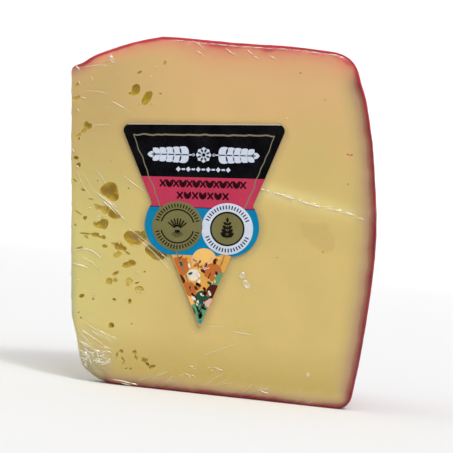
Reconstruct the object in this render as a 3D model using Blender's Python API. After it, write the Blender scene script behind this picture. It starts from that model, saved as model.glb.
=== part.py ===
"""A wedge of Gouda-type cheese with a red wax rind, tight in clear film, with a die-cut label.

The wedge stands on the flat bottom of the wheel that it was cut from. The wheel's axis is the line
x = 0, y = 0 while the shapes are made. The shown cut face is the plane y = 0 and faces -Y, with the
tip on the left and the rind on the right. The last step puts the bottom centre at the origin.
"""
import math

import bmesh
import bpy
from mathutils import Matrix, Vector

# The wheel, in metres.
WHEEL_HEIGHT = 0.1030
WHEEL_RADIUS = 0.0998
BELLY_HEIGHT = 0.045          # the height where the rim is widest
LOWER_RIM_CURVE = 0.360       # radius of the rim's curve below the belly
UPPER_RIM_CURVE = 0.130       # and above it, where the wheel draws in
TOP_CORNER = 0.0065
BOTTOM_CORNER = 0.0040
TOP_FALL = 0.0016             # fall of the top from the rim to the soft middle
SLUMP_RADIUS = 0.033          # inside this radius the middle of the wheel has sunk
SLUMP_DEPTH = 0.0144
SLUMP_START = 0.55            # part of the height above which the slump is felt

# The cuts.
WEDGE_ANGLE = math.radians(40)
TIP_FOOT = 0.0138             # where the tip edge, carried down to the table, meets the front cut
TIP_LEAN = 0.110              # run of the tip edge to the left for each unit of rise
TIP_SINK = 0.0120             # how far the top has sunk at the tip edge
NOSE_RADIUS = 0.0012          # rounding of the tip edge
TOE_HEIGHT = 0.0190           # the tip's bottom corner is rounded from this height down
TOE_REACH = 0.0100            # and drawn in this far at the table
CUT_EDGE_RADIUS = 0.0016      # rounding all round both cut faces

# How finely each stretch is divided.
NOSE_STEPS = 4
SIDE_STEPS = 12
EDGE_STEPS = 3
RIM_STEPS = 10
TOP_LEVELS = 6
TOE_LEVELS = 12
BODY_LEVELS = 12
TOP_RINGS = (0.82, 0.6, 0.35)

# The larger eyes in the shown cut face, as (across from the tip's foot, up, width, height, tilt in
# degrees).
EYES = (
    (0.0109, 0.0856, 0.0026, 0.0034, 20),
    (0.0149, 0.0834, 0.0020, 0.0052, 30),
    (-0.0017, 0.0733, 0.0024, 0.0022, 0),
    (0.0072, 0.0550, 0.0052, 0.0054, 0),
    (0.0056, 0.0451, 0.0042, 0.0025, -15),
    (0.0158, 0.0430, 0.0058, 0.0044, 10),
    (0.0226, 0.0389, 0.0058, 0.0038, -25),
    (0.0115, 0.0396, 0.0024, 0.0021, 0),
    (0.0153, 0.0350, 0.0035, 0.0021, -10),
)
EYE_DEPTH = 0.55              # depth below the face, as a part of the smaller width
EYE_SEGMENTS = 14
EYE_RINGS = 9

# The label, drawn from the middle of its top edge, x to the right and y up.
LABEL_HALF_WIDTH = 0.0239
LABEL_LENGTH = 0.0592
LABEL_CORNER = 0.0019
LABEL_TIP_CORNER = 0.0006
LOBE_OFFSET = 0.0077
LOBE_DROP = 0.0291
LOBE_RADIUS = 0.0090
LABEL_THICKNESS = 0.0004
LABEL_GAP = 0.0003
LABEL_TILT = math.radians(5.0)
LABEL_PLACE = (0.0325, 0.0772)    # the middle of its top edge: across from the tip's foot, and up
ARC_STEP = math.radians(10)


def clear_scene():
    """Remove whatever objects the open file holds."""
    for obj in list(bpy.data.objects):
        bpy.data.objects.remove(obj, do_unlink=True)


def new_collection(name):
    """Make a collection in the scene."""
    collection = bpy.data.collections.new(name)
    bpy.context.scene.collection.children.link(collection)
    return collection


def new_object(name, data, collection):
    """Make an object from mesh or curve data in a collection."""
    obj = bpy.data.objects.new(name, data)
    collection.objects.link(obj)
    return obj


def new_material(name, colour, roughness, coat=0.0):
    """Make a Principled material; the colour is linear RGB."""
    material = bpy.data.materials.new(name)
    material.use_nodes = True
    shader = material.node_tree.nodes["Principled BSDF"]
    shader.inputs["Base Color"].default_value = (*colour, 1.0)
    shader.inputs["Roughness"].default_value = roughness
    shader.inputs["Metallic"].default_value = 0.0
    shader.inputs["Coat Weight"].default_value = coat
    return material


def rounding(depth, radius):
    """How far a rounded edge has drawn in, at a depth below the face that it turns into."""
    if depth >= radius:
        return 0.0
    return radius - math.sqrt(radius ** 2 - (radius - depth) ** 2)


def arc(centre, radius, start, end, steps):
    """Points on an arc between two angles, both ends included."""
    points = []
    for step in range(steps + 1):
        angle = start + (end - start) * step / steps
        points.append(centre + radius * Vector((math.cos(angle), math.sin(angle))))
    return points


def side(start, end, steps):
    """Points between two ends, both left out, closer together near the end at the nose."""
    points = []
    for step in range(1, steps):
        points.append(start.lerp(end, (step / steps) ** 1.4))
    return points


def rim_radius(height):
    """Radius of the rim at a height: two curves that meet upright at the belly, and two corners."""
    rise = height - BELLY_HEIGHT
    curve = UPPER_RIM_CURVE if rise > 0 else LOWER_RIM_CURVE
    corners = rounding(WHEEL_HEIGHT - height, TOP_CORNER) + rounding(height, BOTTOM_CORNER)
    return WHEEL_RADIUS - rise ** 2 / (2 * curve) - corners


def top_sink(radius):
    """How far the top lies below the wheel's full height, at a distance from its axis."""
    sink = TOP_FALL * (1 - radius / WHEEL_RADIUS)
    if radius < SLUMP_RADIUS:
        sink += SLUMP_DEPTH * (1 - radius / SLUMP_RADIUS) ** 1.35
    return sink


def slump_share(height):
    """Part of the top's sinking that is felt at a height."""
    share = (height / WHEEL_HEIGHT - SLUMP_START) / (1 - SLUMP_START)
    share = min(max(share, 0.0), 1.0)
    return share * share * (3 - 2 * share)


def wedge_section(height):
    """Level outline of the wedge, counter-clockwise: front side, rim, back side, nose."""
    half = WEDGE_ANGLE / 2
    edge = CUT_EDGE_RADIUS
    inset = rounding(height, edge) + rounding(WHEEL_HEIGHT - height, edge)
    rim = rim_radius(height) - edge
    tip = Vector((TIP_FOOT - TIP_LEAN * (height - TIP_SINK * slump_share(height)), 0.0))
    toe = TOE_REACH / TOE_HEIGHT * rounding(height, TOE_HEIGHT)
    nose = NOSE_RADIUS + toe / (1 / math.sin(half) - 1)

    nose_centre = tip + (inset + nose) / math.sin(half) * Vector((math.cos(half), math.sin(half)))
    front_y = inset + edge
    front_centre = Vector((math.sqrt(rim ** 2 - front_y ** 2), front_y))
    back_y = -(tip.x * math.sin(WEDGE_ANGLE) + inset + edge)
    back_centre = Vector((math.sqrt(rim ** 2 - back_y ** 2), back_y))
    front_turn = math.atan2(front_centre.y, front_centre.x)
    back_turn = math.atan2(back_centre.y, back_centre.x) + WEDGE_ANGLE
    back_centre.rotate(Matrix.Rotation(WEDGE_ANGLE, 2))

    front_arc = arc(front_centre, edge, -math.pi / 2, front_turn, EDGE_STEPS)
    rim_arc = arc(Vector((0.0, 0.0)), rim + edge, front_turn, back_turn, RIM_STEPS)
    back_arc = arc(back_centre, edge, back_turn, WEDGE_ANGLE + math.pi / 2, EDGE_STEPS)
    nose_arc = arc(nose_centre, nose, WEDGE_ANGLE + math.pi / 2, 1.5 * math.pi, NOSE_STEPS)
    front_side = side(nose_arc[-1], front_arc[0], SIDE_STEPS)
    back_side = side(nose_arc[0], back_arc[-1], SIDE_STEPS)
    return front_side + front_arc + rim_arc[1:-1] + back_arc + back_side[::-1] + nose_arc


def quarter_turn(steps):
    """Depths below a face, from 1 down to 0, that divide a quarter round evenly."""
    return [1 - math.sin(math.pi / 2 * step / steps) for step in range(steps + 1)]


def section_levels():
    """Heights of the wedge's sections, close together where the toe and the top corner turn."""
    toe = [TOE_HEIGHT * depth for depth in reversed(quarter_turn(TOE_LEVELS))]
    top = [WHEEL_HEIGHT - TOP_CORNER * depth for depth in quarter_turn(TOP_LEVELS)]
    gap = (top[0] - toe[-1]) / BODY_LEVELS
    body = [toe[-1] + gap * step for step in range(1, BODY_LEVELS)]
    return toe + body + top


def loft(shape, rings):
    """Join rings of equally many corners with faces."""
    for lower, upper in zip(rings, rings[1:]):
        for index in range(len(lower)):
            shape.faces.new((lower[index - 1], lower[index], upper[index], upper[index - 1]))


def make_wedge(collection):
    """The wrapped cheese: level sections joined from the flat bottom to the sunk top."""
    shape = bmesh.new()
    rings = []
    for height in section_levels():
        share = slump_share(height)
        rings.append([shape.verts.new((*point, height - share * top_sink(point.length)))
                      for point in wedge_section(height)])
    rim_points = wedge_section(WHEEL_HEIGHT)
    middle = sum(rim_points, Vector((0.0, 0.0))) / len(rim_points)
    for size in TOP_RINGS:
        points = [middle.lerp(point, size) for point in rim_points]
        rings.append([shape.verts.new((*point, WHEEL_HEIGHT - top_sink(point.length))) for point in points])
    loft(shape, rings)
    shape.faces.new(rings[0])
    pole = shape.verts.new((*middle, WHEEL_HEIGHT - top_sink(middle.length)))
    for index in range(len(rim_points)):
        shape.faces.new((rings[-1][index - 1], rings[-1][index], pole))
    bmesh.ops.recalc_face_normals(shape, faces=shape.faces)
    mesh = bpy.data.meshes.new("cheese_wedge")
    shape.to_mesh(mesh)
    shape.free()
    mesh.shade_smooth()
    mesh.set_sharp_from_angle(angle=math.radians(40))
    return new_object("cheese_wedge", mesh, collection)


def make_eye_cutter(collection):
    """All the larger eyes as one tool: flattened balls sunk half into the front cut."""
    shape = bmesh.new()
    for across, height, width, tall, tilt in EYES:
        place = Matrix.Translation((TIP_FOOT + across, 0.0, height))
        turn = Matrix.Rotation(math.radians(tilt), 4, "Y")
        size = Matrix.Diagonal((width / 2, EYE_DEPTH * min(width, tall), tall / 2, 1.0))
        bmesh.ops.create_uvsphere(shape, u_segments=EYE_SEGMENTS, v_segments=EYE_RINGS, radius=1.0,
                                  matrix=place @ turn @ size)
    mesh = bpy.data.meshes.new("eye_cutter")
    shape.to_mesh(mesh)
    shape.free()
    cutter = new_object("eye_cutter", mesh, collection)
    cutter.hide_render = True
    cutter.display_type = "WIRE"
    return cutter


def make_cheese(collection, cutters):
    """The wedge with its larger eyes taken out of the shown face."""
    wedge = make_wedge(collection)
    eyes = wedge.modifiers.new("eyes", "BOOLEAN")
    eyes.operation = "DIFFERENCE"
    eyes.solver = "EXACT"
    eyes.object = make_eye_cutter(cutters)
    wedge.data.materials.append(new_material("wrapped cheese", (0.62, 0.45, 0.16), 0.3, coat=0.6))
    return wedge


def rounded_corner(corner, before, after, radius):
    """An arc in place of a corner of the label, between the directions to its two neighbours."""
    into = (before - corner).normalized()
    out = (after - corner).normalized()
    half = into.angle(out) / 2
    centre = corner + (into + out).normalized() * radius / math.sin(half)
    start = corner + into * radius / math.tan(half) - centre
    turn = math.pi - 2 * half
    steps = max(2, math.ceil(turn / ARC_STEP))
    angle = math.atan2(start.y, start.x)
    return arc(centre, radius, angle, angle - turn, steps)


def lobe_arc(top, tip, centre):
    """The round lobe beside a seal, from where the right slanted side meets it down to where it ends."""
    along = (tip - top).normalized()
    foot = top + along * (centre - top).dot(along)
    half_chord = math.sqrt(LOBE_RADIUS ** 2 - (foot - centre).length_squared)
    start = foot - along * half_chord - centre
    end = foot + along * half_chord - centre
    start_angle = math.atan2(start.y, start.x)
    end_angle = math.atan2(end.y, end.x)
    steps = math.ceil((start_angle - end_angle) / ARC_STEP)
    return arc(centre, LOBE_RADIUS, start_angle, end_angle, steps)


def label_outline():
    """The label clockwise: a downward triangle with rounded corners and a lobe on each side."""
    right = Vector((LABEL_HALF_WIDTH, 0.0))
    left = Vector((-LABEL_HALF_WIDTH, 0.0))
    tip = Vector((0.0, -LABEL_LENGTH))
    corner = rounded_corner(right, left, tip, LABEL_CORNER)
    lobe = lobe_arc(right, tip, Vector((LOBE_OFFSET, -LOBE_DROP)))
    right_half = corner + lobe
    left_half = [Vector((-point.x, point.y)) for point in reversed(right_half)]
    return right_half + rounded_corner(tip, right, left, LABEL_TIP_CORNER) + left_half


def make_label(collection):
    """The label: a thin plate flat against the front cut, a little turned."""
    outline = label_outline()
    curve = bpy.data.curves.new("label", "CURVE")
    curve.dimensions = "2D"
    curve.fill_mode = "BOTH"
    curve.extrude = LABEL_THICKNESS / 2
    spline = curve.splines.new("POLY")
    spline.points.add(len(outline) - 1)
    for place, point in zip(spline.points, outline):
        place.co = (point.x, point.y, 0.0, 1.0)
    spline.use_cyclic_u = True
    label = new_object("label", curve, collection)
    across, height = LABEL_PLACE
    label.location = (TIP_FOOT + across, -LABEL_GAP - LABEL_THICKNESS / 2, height)
    label.rotation_euler = (math.pi / 2, -LABEL_TILT, 0.0)
    curve.materials.append(new_material("printed label", (0.02, 0.02, 0.02), 0.4))
    return label


def world_corners(part, graph):
    """Every corner of a part as it shows, in world space."""
    solid = part.evaluated_get(graph)
    corners = [part.matrix_world @ vertex.co for vertex in solid.to_mesh().vertices]
    solid.to_mesh_clear()
    return corners


def stand_at_origin(parts, cutters, collection):
    """Hang everything on one empty that puts the bottom centre of the parts' box at the origin."""
    bpy.context.view_layer.update()
    graph = bpy.context.evaluated_depsgraph_get()
    corners = [corner for part in parts for corner in world_corners(part, graph)]
    low = Vector([min(corner[axis] for corner in corners) for axis in range(3)])
    high = Vector([max(corner[axis] for corner in corners) for axis in range(3)])
    root = new_object("root", None, collection)
    root.location = (-(low.x + high.x) / 2, -(low.y + high.y) / 2, -low.z)
    for obj in parts + list(cutters.objects):
        obj.parent = root


def main():
    clear_scene()
    collection = new_collection("cheese wedge")
    cutters = new_collection("cutters")
    parts = [make_cheese(collection, cutters), make_label(collection)]
    stand_at_origin(parts, cutters, collection)


main()
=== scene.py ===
import math
import random

import bpy
import numpy as np
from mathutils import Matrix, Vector, noise
from mathutils.bvhtree import BVHTree


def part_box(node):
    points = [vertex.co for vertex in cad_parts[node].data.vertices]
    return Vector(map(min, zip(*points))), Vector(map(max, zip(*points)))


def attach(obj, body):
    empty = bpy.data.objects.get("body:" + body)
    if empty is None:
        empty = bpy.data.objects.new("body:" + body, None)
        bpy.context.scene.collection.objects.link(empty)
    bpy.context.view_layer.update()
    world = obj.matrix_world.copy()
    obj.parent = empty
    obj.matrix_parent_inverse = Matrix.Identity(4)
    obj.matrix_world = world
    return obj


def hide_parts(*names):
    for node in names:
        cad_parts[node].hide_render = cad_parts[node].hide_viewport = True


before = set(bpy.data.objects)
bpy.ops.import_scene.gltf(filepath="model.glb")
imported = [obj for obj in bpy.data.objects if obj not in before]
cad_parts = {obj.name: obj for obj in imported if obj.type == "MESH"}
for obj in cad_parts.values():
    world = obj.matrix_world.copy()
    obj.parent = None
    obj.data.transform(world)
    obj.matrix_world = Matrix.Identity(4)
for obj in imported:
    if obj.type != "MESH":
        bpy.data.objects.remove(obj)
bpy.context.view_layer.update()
wedge_low, wedge_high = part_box("cheese_wedge")
label_low, label_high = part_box("label")
MM = 0.001
FACE = wedge_low.y               # the shown cut face lies in this plane and looks along -Y
WEDGE_ANGLE = math.radians(40)   # between the shown cut and the hidden one
print("wedge, mm:", [round(side / MM, 1) for side in wedge_high - wedge_low])

# %% [markdown]
# ## Picking and shaping by code
# An operator works on whatever is selected, so each one needs its piece chosen first, as a
# click would. These helpers choose a piece, pick some of its faces by a rule, apply one
# modifier, and read or move all of its points at once, which is how a soft relief is laid
# over thousands of points.
# %% Helpers: choose, pick, modify
def choose(*pieces):
    """Makes these objects the only ones selected, and the last one active."""
    bpy.ops.object.select_all(action="DESELECT")
    for piece in pieces:
        piece.select_set(True)
    bpy.context.view_layer.objects.active = pieces[-1]


def new_piece(name, mesh):
    piece = bpy.data.objects.new(name, mesh)
    mesh.name = name
    bpy.context.scene.collection.objects.link(piece)
    return piece


def pick_faces(piece, wanted):
    """Opens the piece in edit mode with only the wanted faces selected."""
    choose(piece)
    bpy.ops.object.mode_set(mode="EDIT")
    bpy.ops.mesh.select_mode(type="FACE")
    bpy.ops.mesh.select_all(action="DESELECT")
    bpy.ops.object.mode_set(mode="OBJECT")
    for face in piece.data.polygons:
        face.select = wanted(face)
    bpy.ops.object.mode_set(mode="EDIT")


def close_edit():
    bpy.ops.object.mode_set(mode="OBJECT")


def modify(piece, kind, **settings):
    """Adds one modifier with its settings, and applies it."""
    choose(piece)
    modifier = piece.modifiers.new(kind.title(), kind)
    for name, value in settings.items():
        setattr(modifier, name, value)
    bpy.ops.object.modifier_apply(modifier=modifier.name)


def points_of(piece, what="co"):
    """The piece's points, or their normals, as rows of numbers."""
    rows = np.empty(len(piece.data.vertices) * 3, np.float32)
    piece.data.vertices.foreach_get(what, rows)
    return rows.reshape(-1, 3).astype(float)


def move_points(piece, rows):
    piece.data.vertices.foreach_set("co", rows.astype(np.float32).ravel())
    piece.data.update()


def store(piece, name, values):
    """Keeps one number for each point, for a material to read."""
    attribute = piece.data.attributes.new(name, "FLOAT", "POINT")
    attribute.data.foreach_set("value", np.asarray(values, np.float32))


def waves(rows, size, seed):
    """Smooth noise of about that size in millimetres, from -1 to 1, at each point."""
    shift = Vector((seed * 7.3, seed * 3.1, seed * 5.7))
    return np.array([noise.noise(Vector(row) / (size * MM) + shift) for row in rows])


def tree_of(piece, wanted=lambda face: True):
    """A search tree of the piece's wanted faces, to ask how far away they are."""
    corners = [vertex.co.copy() for vertex in piece.data.vertices]
    faces = [tuple(face.vertices) for face in piece.data.polygons if wanted(face)]
    return BVHTree.FromPolygons(corners, faces)


def gaps(tree, rows):
    """Distance in millimetres from each point to the tree's nearest face."""
    return np.array([tree.find_nearest(Vector(row))[3] for row in rows]) / MM


def report(piece):
    triangles = sum(len(face.vertices) - 2 for face in piece.data.polygons)
    edges = {}
    for face in piece.data.polygons:
        for key in face.edge_keys:
            edges[key] = edges.get(key, 0) + 1
    loose = sum(1 for count in edges.values() if count != 2)
    print(f"{piece.name}: {triangles} triangles, {loose} open edges")


# %% [markdown]
# ## The eyes
# Eyes are the bubbles that gas leaves in the paste while the cheese ripens. A knife opens
# those that it meets. They sit in the wedge's thin end, near the middle of the wheel, and
# range from grape pips to coffee beans. Those that are noticed first are listed one by one, to
# half a millimetre, because each has a shape of its own. The rest are thrown between them with
# a seed, zone by zone. Places are millimetres across from the frame's middle and up from its
# foot. Tilt is clockwise, in degrees.
# %% Places and sizes of the eyes
POCKETS = (
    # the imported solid's coarse pockets: across, up, wide, tall, tilt
    (-28.3, 85.6, 2.6, 3.4, 20), (-24.3, 83.4, 2.0, 5.2, 30), (-40.9, 73.3, 2.4, 2.2, 0),
    (-32.0, 55.0, 5.2, 5.4, 0), (-33.6, 45.1, 4.2, 2.5, -15), (-23.4, 43.0, 5.8, 4.4, 10),
    (-16.6, 38.9, 5.8, 3.8, -25), (-27.7, 39.6, 2.4, 2.1, 0), (-23.9, 35.0, 3.5, 2.1, -10),
)
LARGE_EYES = (
    # across, up, wide, tall, tilt, deep; balls that touch make one eye
    (-27.5, 85.5, 2.4, 3.6, 18, 2.0), (-28.5, 84.0, 2.0, 1.2, 0, 0.8),
    (-24.0, 83.5, 2.2, 4.4, 30, 1.8), (-24.5, 82.5, 2.0, 2.6, 30, 1.6),
    (-40.5, 74.0, 1.5, 1.5, 0, 1.3), (-40.0, 73.5, 2.2, 2.2, 0, 1.9),
    (-41.0, 72.0, 2.0, 1.2, -50, 1.0), (-42.5, 70.5, 2.2, 1.0, -45, 0.5),
    (-32.0, 55.5, 5.2, 4.8, 12, 2.9), (-30.5, 54.0, 3.4, 2.4, -10, 2.6),
    (-34.5, 50.5, 3.0, 1.6, 18, 0.9), (-32.5, 50.0, 3.2, 2.2, 20, 1.2),
    (-30.0, 49.0, 3.6, 2.6, 18, 2.0), (-28.5, 48.5, 1.6, 1.2, 0, 1.0),
    (-33.0, 45.5, 3.6, 2.4, 4, 1.8), (-32.5, 46.0, 2.4, 2.6, 10, 2.1),
    (-35.0, 45.5, 1.2, 1.6, -20, 0.7),
    (-23.0, 43.0, 5.6, 4.4, 8, 2.9), (-21.0, 43.5, 2.6, 3.2, 10, 2.2),
    (-23.0, 41.5, 3.8, 2.0, 0, 1.2),
    (-16.5, 39.5, 6.4, 4.4, 22, 2.9),
    (-27.5, 40.0, 2.6, 2.4, 10, 1.9), (-26.0, 39.5, 2.0, 1.6, 20, 1.4),
    (-29.0, 40.5, 1.6, 0.8, 0, 0.5), (-25.0, 38.5, 2.4, 0.8, 34, 0.7),
    (-24.0, 35.0, 3.8, 1.8, -28, 1.4), (-23.0, 35.5, 2.2, 1.9, 0, 1.6),
    (-25.0, 35.0, 1.4, 1.2, 0, 1.0),
    (-16.5, 8.0, 1.7, 1.3, 38, 1.2), (-15.5, 7.0, 1.6, 1.0, 38, 1.2),
    (-14.0, 6.5, 2.0, 0.9, -14, 1.2),
)
SMALL_EYES = (
    (-27.0, 90.5, 1.8, 0.7, -32, 0.7), (-20.0, 94.0, 0.9, 1.6, 12, 0.6),
    (-44.5, 85.0, 0.8, 1.7, 30, 0.7), (-44.5, 81.0, 3.0, 1.2, -32, 0.9),
    (-42.5, 64.0, 1.7, 1.2, 0, 1.3), (-41.5, 62.0, 1.5, 1.5, 0, 1.4),
    (-42.5, 57.5, 2.4, 0.9, 20, 0.8), (-39.5, 55.0, 1.4, 0.8, 20, 0.8),
    (-37.0, 52.5, 2.0, 0.7, 5, 0.5), (-38.0, 47.0, 1.3, 1.4, 0, 1.0),
    (-40.5, 48.5, 3.6, 0.5, 28, 0.5), (-37.5, 42.5, 3.4, 0.6, -2, 0.6),
    (-34.5, 42.5, 2.4, 1.5, 0, 1.2), (-33.0, 42.0, 2.2, 0.7, 10, 0.6),
    (-32.0, 42.0, 1.3, 1.3, 0, 1.1), (-37.0, 41.5, 1.7, 0.8, 20, 0.4),
    (-31.5, 39.5, 1.7, 1.1, 0, 1.0), (-38.5, 38.0, 2.0, 1.0, 0, 0.7),
    (-27.5, 37.5, 2.6, 1.9, -20, 0.5), (-27.5, 32.0, 2.2, 1.0, -35, 1.0),
    (-29.0, 29.5, 2.0, 2.2, 25, 0.9), (-27.5, 30.0, 1.6, 1.6, 0, 0.4),
    (-23.5, 30.0, 2.2, 2.6, 20, 0.6), (-21.0, 30.0, 1.6, 0.6, -20, 0.7),
    (-20.0, 28.0, 3.0, 1.9, 18, 0.6), (-36.5, 24.5, 1.6, 1.3, -30, 1.5),
    (-27.0, 24.5, 1.3, 0.9, 0, 0.8), (-22.5, 24.5, 1.2, 1.5, 0, 1.0),
    (-27.0, 17.0, 1.7, 1.8, 0, 1.5), (-24.5, 8.5, 0.6, 2.3, 8, 0.6),
    (-22.5, 7.5, 2.2, 0.6, 50, 0.6), (-19.0, 8.5, 0.9, 1.7, -25, 0.7),
)
EYE_ZONES = (
    # how many; left, low, right, top; widest: smaller ones, thrown
    (8, (-24, 5, -8, 10), 1.3), (9, (-42, 36, -26, 62), 0.8), (8, (-42, 14, -18, 36), 0.8),
    (7, (-44, 62, -18, 95), 0.9), (6, (-14, 8, 38, 96), 0.55),
)


def on_cut(across, up, proud=0.0):
    """A place on the shown cut, standing proud of it by so much; all in millimetres."""
    return Vector((across * MM, FACE - proud * MM, up * MM))


print(len(LARGE_EYES), "balls for large eyes and", len(SMALL_EYES), "for small ones")

# %% [markdown]
# ## The bare wedge
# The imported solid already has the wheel's belly, the sunken middle of its top, the worn toe
# and the leaning thin end, and coarse pockets for the large eyes. It is copied, and its
# pockets are pressed flush, since the eyes are cut again below and much more finely. A voxel
# remesh then turns its few large triangles into an even grid of small ones, the way clay is
# wedged before it is worked, and a light smooth takes off the remesh's steps.
# %% Copy, fill the pockets and remesh
def merged_copy(node, name):
    piece = new_piece(name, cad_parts[node].data.copy())
    piece.data.materials.clear()
    choose(piece)
    bpy.ops.object.mode_set(mode="EDIT")
    bpy.ops.mesh.select_all(action="SELECT")
    bpy.ops.mesh.remove_doubles(threshold=0.001 * MM)
    close_edit()
    bpy.ops.mesh.customdata_custom_splitnormals_clear()
    return piece


def fill_pockets(piece):
    """Moves the points inside each pocket's outline out to the cut face."""
    rows = points_of(piece)
    for across, up, wide, tall, tilt in POCKETS:
        turn = math.radians(tilt)
        right, rise = rows[:, 0] / MM - across, rows[:, 2] / MM - up
        along = right * math.cos(turn) - rise * math.sin(turn)
        over = right * math.sin(turn) + rise * math.cos(turn)
        inside = np.hypot(along / (wide / 2 + 0.4), over / (tall / 2 + 0.4)) < 1
        shallow = rows[:, 1] < FACE + 5 * MM
        rows[inside & shallow, 1] = FACE
    move_points(piece, rows)


def bare_wedge(name, grain):
    """The whole wedge without eyes, on a grid of that many millimetres."""
    piece = merged_copy("cheese_wedge", name)
    fill_pockets(piece)
    modify(piece, "REMESH", mode="VOXEL", voxel_size=grain * MM)
    modify(piece, "SMOOTH", factor=0.5, iterations=2)
    return piece


paste = bare_wedge("cheese_paste", 0.72)
report(paste)

# %% [markdown]
# ## Knocks and pulls
# A cut wedge is soft, and handling leaves its corners a little out of true: the thin end's top
# corner is pulled to a point by the film, the toe bulges, the shoulder is full. Each of these
# is a soft push on all points near a place, the way proportional editing moves them.
# %% Push the corners
PUSHES = (
    # across and up of the middle, push across, push up, radius, all in millimetres
    (-46.9, 90.2, -0.2, -0.1, 1.9),
    (-43.6, 92.0, 0.1, -0.65, 2.3),
    (34.0, 100.4, 0.2, 0.45, 4.5),
    (15.0, 102.5, 0.0, 0.3, 9.0),
    (38.6, 96.0, -0.1, -0.2, 4.2),
    (41.5, 91.0, 0.3, 0.0, 5.0),
    (46.0, 67.0, -0.75, 0.0, 13.0),
    (-38.0, 12.0, 0.95, 0.0, 5.0),
    (-34.4, 3.6, -0.3, 0.0, 2.4),
    (-32.0, 1.5, 0.2, 0.45, 3.0),
    (38.0, 0.5, 0.0, -0.3, 12.0),
)


def push_corners(piece):
    rows = points_of(piece)
    for across, up, push_across, push_up, radius in PUSHES:
        far = np.hypot(rows[:, 0] / MM - across, rows[:, 2] / MM - up)
        share = np.exp(-(far / radius) ** 2)
        rows[:, 0] += push_across * MM * share
        rows[:, 2] += push_up * MM * share
    rows[:, 2] = np.maximum(rows[:, 2], wedge_low.z)
    move_points(piece, rows)


push_corners(paste)

# %% [markdown]
# ## The cut's soft relief
# A wire or a long knife never leaves a true plane: the paste gives way under it. Two sizes of
# smooth noise push the points in or out by about a tenth of a millimetre, enough to unsettle
# a reflection and too little to see as a shape.
# %% Soft relief
def soften(piece, long_wave, short_wave):
    rows, normals = points_of(piece), points_of(piece, "normal")
    lift = long_wave * waves(rows, 16, 1) + short_wave * waves(rows, 4.5, 2)
    move_points(piece, rows + normals * (lift * MM)[:, None])


soften(paste, 0.14, 0.05)
wedge_skin = tree_of(paste)
print("relief laid on", len(paste.data.vertices), "points")

# %% [markdown]
# ## The red wax
# The wheel was dipped in wax before it was cut, so wax is left on its top, rim and bottom and
# not on the two cuts. It is made from a copy of the wedge by bisecting: one plane just behind
# each cut, one along the thin end, and one across the worn toe, each clearing what lies
# outside. What stays is an open skin, and Solidify gives it its half millimetre, inwards, so
# that the outside keeps the wheel's size. Seen square on, a cut shows it as a fine red line.
# %% Trim a copy to the wheel's outside
def flat_face(piece, towards):
    """A point on the flat face that looks towards a direction, and the face's own normal."""
    limit = math.cos(math.radians(6))
    normal, middle, area = Vector(), Vector(), 0.0
    for face in piece.data.polygons:
        if face.normal.dot(towards) > limit:
            normal += face.normal * face.area
            middle += face.center * face.area
            area += face.area
    return middle / area, normal.normalized()


def trim(piece, place, normal):
    """Clears everything on the side of the plane that its normal points to."""
    choose(piece)
    bpy.ops.object.mode_set(mode="EDIT")
    bpy.ops.mesh.select_all(action="SELECT")
    bpy.ops.mesh.bisect(plane_co=place, plane_no=normal, clear_outer=True, threshold=0.00001 * MM)
    close_edit()


WAX_SETBACK = 0.42 * MM          # how far the wax stops behind each cut
WAX_THICK = 0.6 * MM
WAX_PROUD = 0.05 * MM            # it stands on the paste by this much
TOE_REACH = 9.9 * MM            # along the bottom, the worn toe has lost its wax
TOE_HIGH = 26 * MM

wax = paste.copy()
wax.data = paste.data.copy()
wax.name = wax.data.name = "wax_rind"
bpy.context.scene.collection.objects.link(wax)

hidden_cut = Vector((-math.sin(WEDGE_ANGLE), math.cos(WEDGE_ANGLE), 0))
cut_middle, cut_normal = flat_face(wax, hidden_cut)
trim(wax, (0, FACE + WAX_SETBACK, 0), (0, -1, 0))
trim(wax, cut_middle - cut_normal * WAX_SETBACK, cut_normal)

rows = points_of(paste)
band = np.abs(rows[:, 2] - 40 * MM) < 2 * MM
thin_end_low = Vector(rows[band][rows[band][:, 0].argmin()])
band = np.abs(rows[:, 2] - 80 * MM) < 2 * MM
thin_end_high = Vector(rows[band][rows[band][:, 0].argmin()])
lean = (thin_end_high - thin_end_low).normalized()
outwards = Vector((-lean.z, 0, lean.x))
trim(wax, thin_end_low - outwards * 0.95 * MM, outwards)
foot = thin_end_low - lean * (thin_end_low.z / lean.z)
across_toe = Vector((TOE_REACH, 0, -TOE_HIGH)).normalized()
trim(wax, foot + Vector((TOE_REACH, 0, 0)), Vector((across_toe.z, 0, -across_toe.x)))
print("thin end leans", round(math.degrees(math.atan2(-lean.x, lean.z)), 1), "degrees")

# %% Keep the skin for measuring from, then give the wax its thickness
wax_skin = tree_of(wax)
wax_rows = points_of(wax) + points_of(wax, "normal") * WAX_PROUD
wax_rows += points_of(wax, "normal") * (0.05 * MM * waves(wax_rows, 2.2, 3))[:, None]
move_points(wax, wax_rows)
modify(wax, "SOLIDIFY", thickness=WAX_THICK, offset=-1)
report(wax)

# %% [markdown]
# ## Cutting the eyes
# Each eye is an ico sphere, added at its size and place, half in and half out of the cut. A
# little noise spoils its roundness, as gas and pressing do. All of them are joined into one
# cutter, and one exact Boolean takes it out of the paste. The hidden cut gets eyes too.
# %% One lumpy ball for each eye
def eye_ball(place, size, turn, seed):
    """A ball at a place, of a size along its own axes, turned, and made uneven."""
    fine = 3 if max(size) > 1.1 * MM else 2
    bpy.ops.mesh.primitive_ico_sphere_add(
        subdivisions=fine, radius=1.0, location=place, rotation=turn, scale=size)
    ball = bpy.context.object
    bpy.ops.object.transform_apply(location=True, rotation=True, scale=True)
    rows, normals = points_of(ball), points_of(ball, "normal")
    rough = min(size[0], size[2])
    lift = 0.36 * rough * waves(rows, 1.1 * rough / MM, seed)
    move_points(ball, rows + normals * lift[:, None])
    return ball


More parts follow.
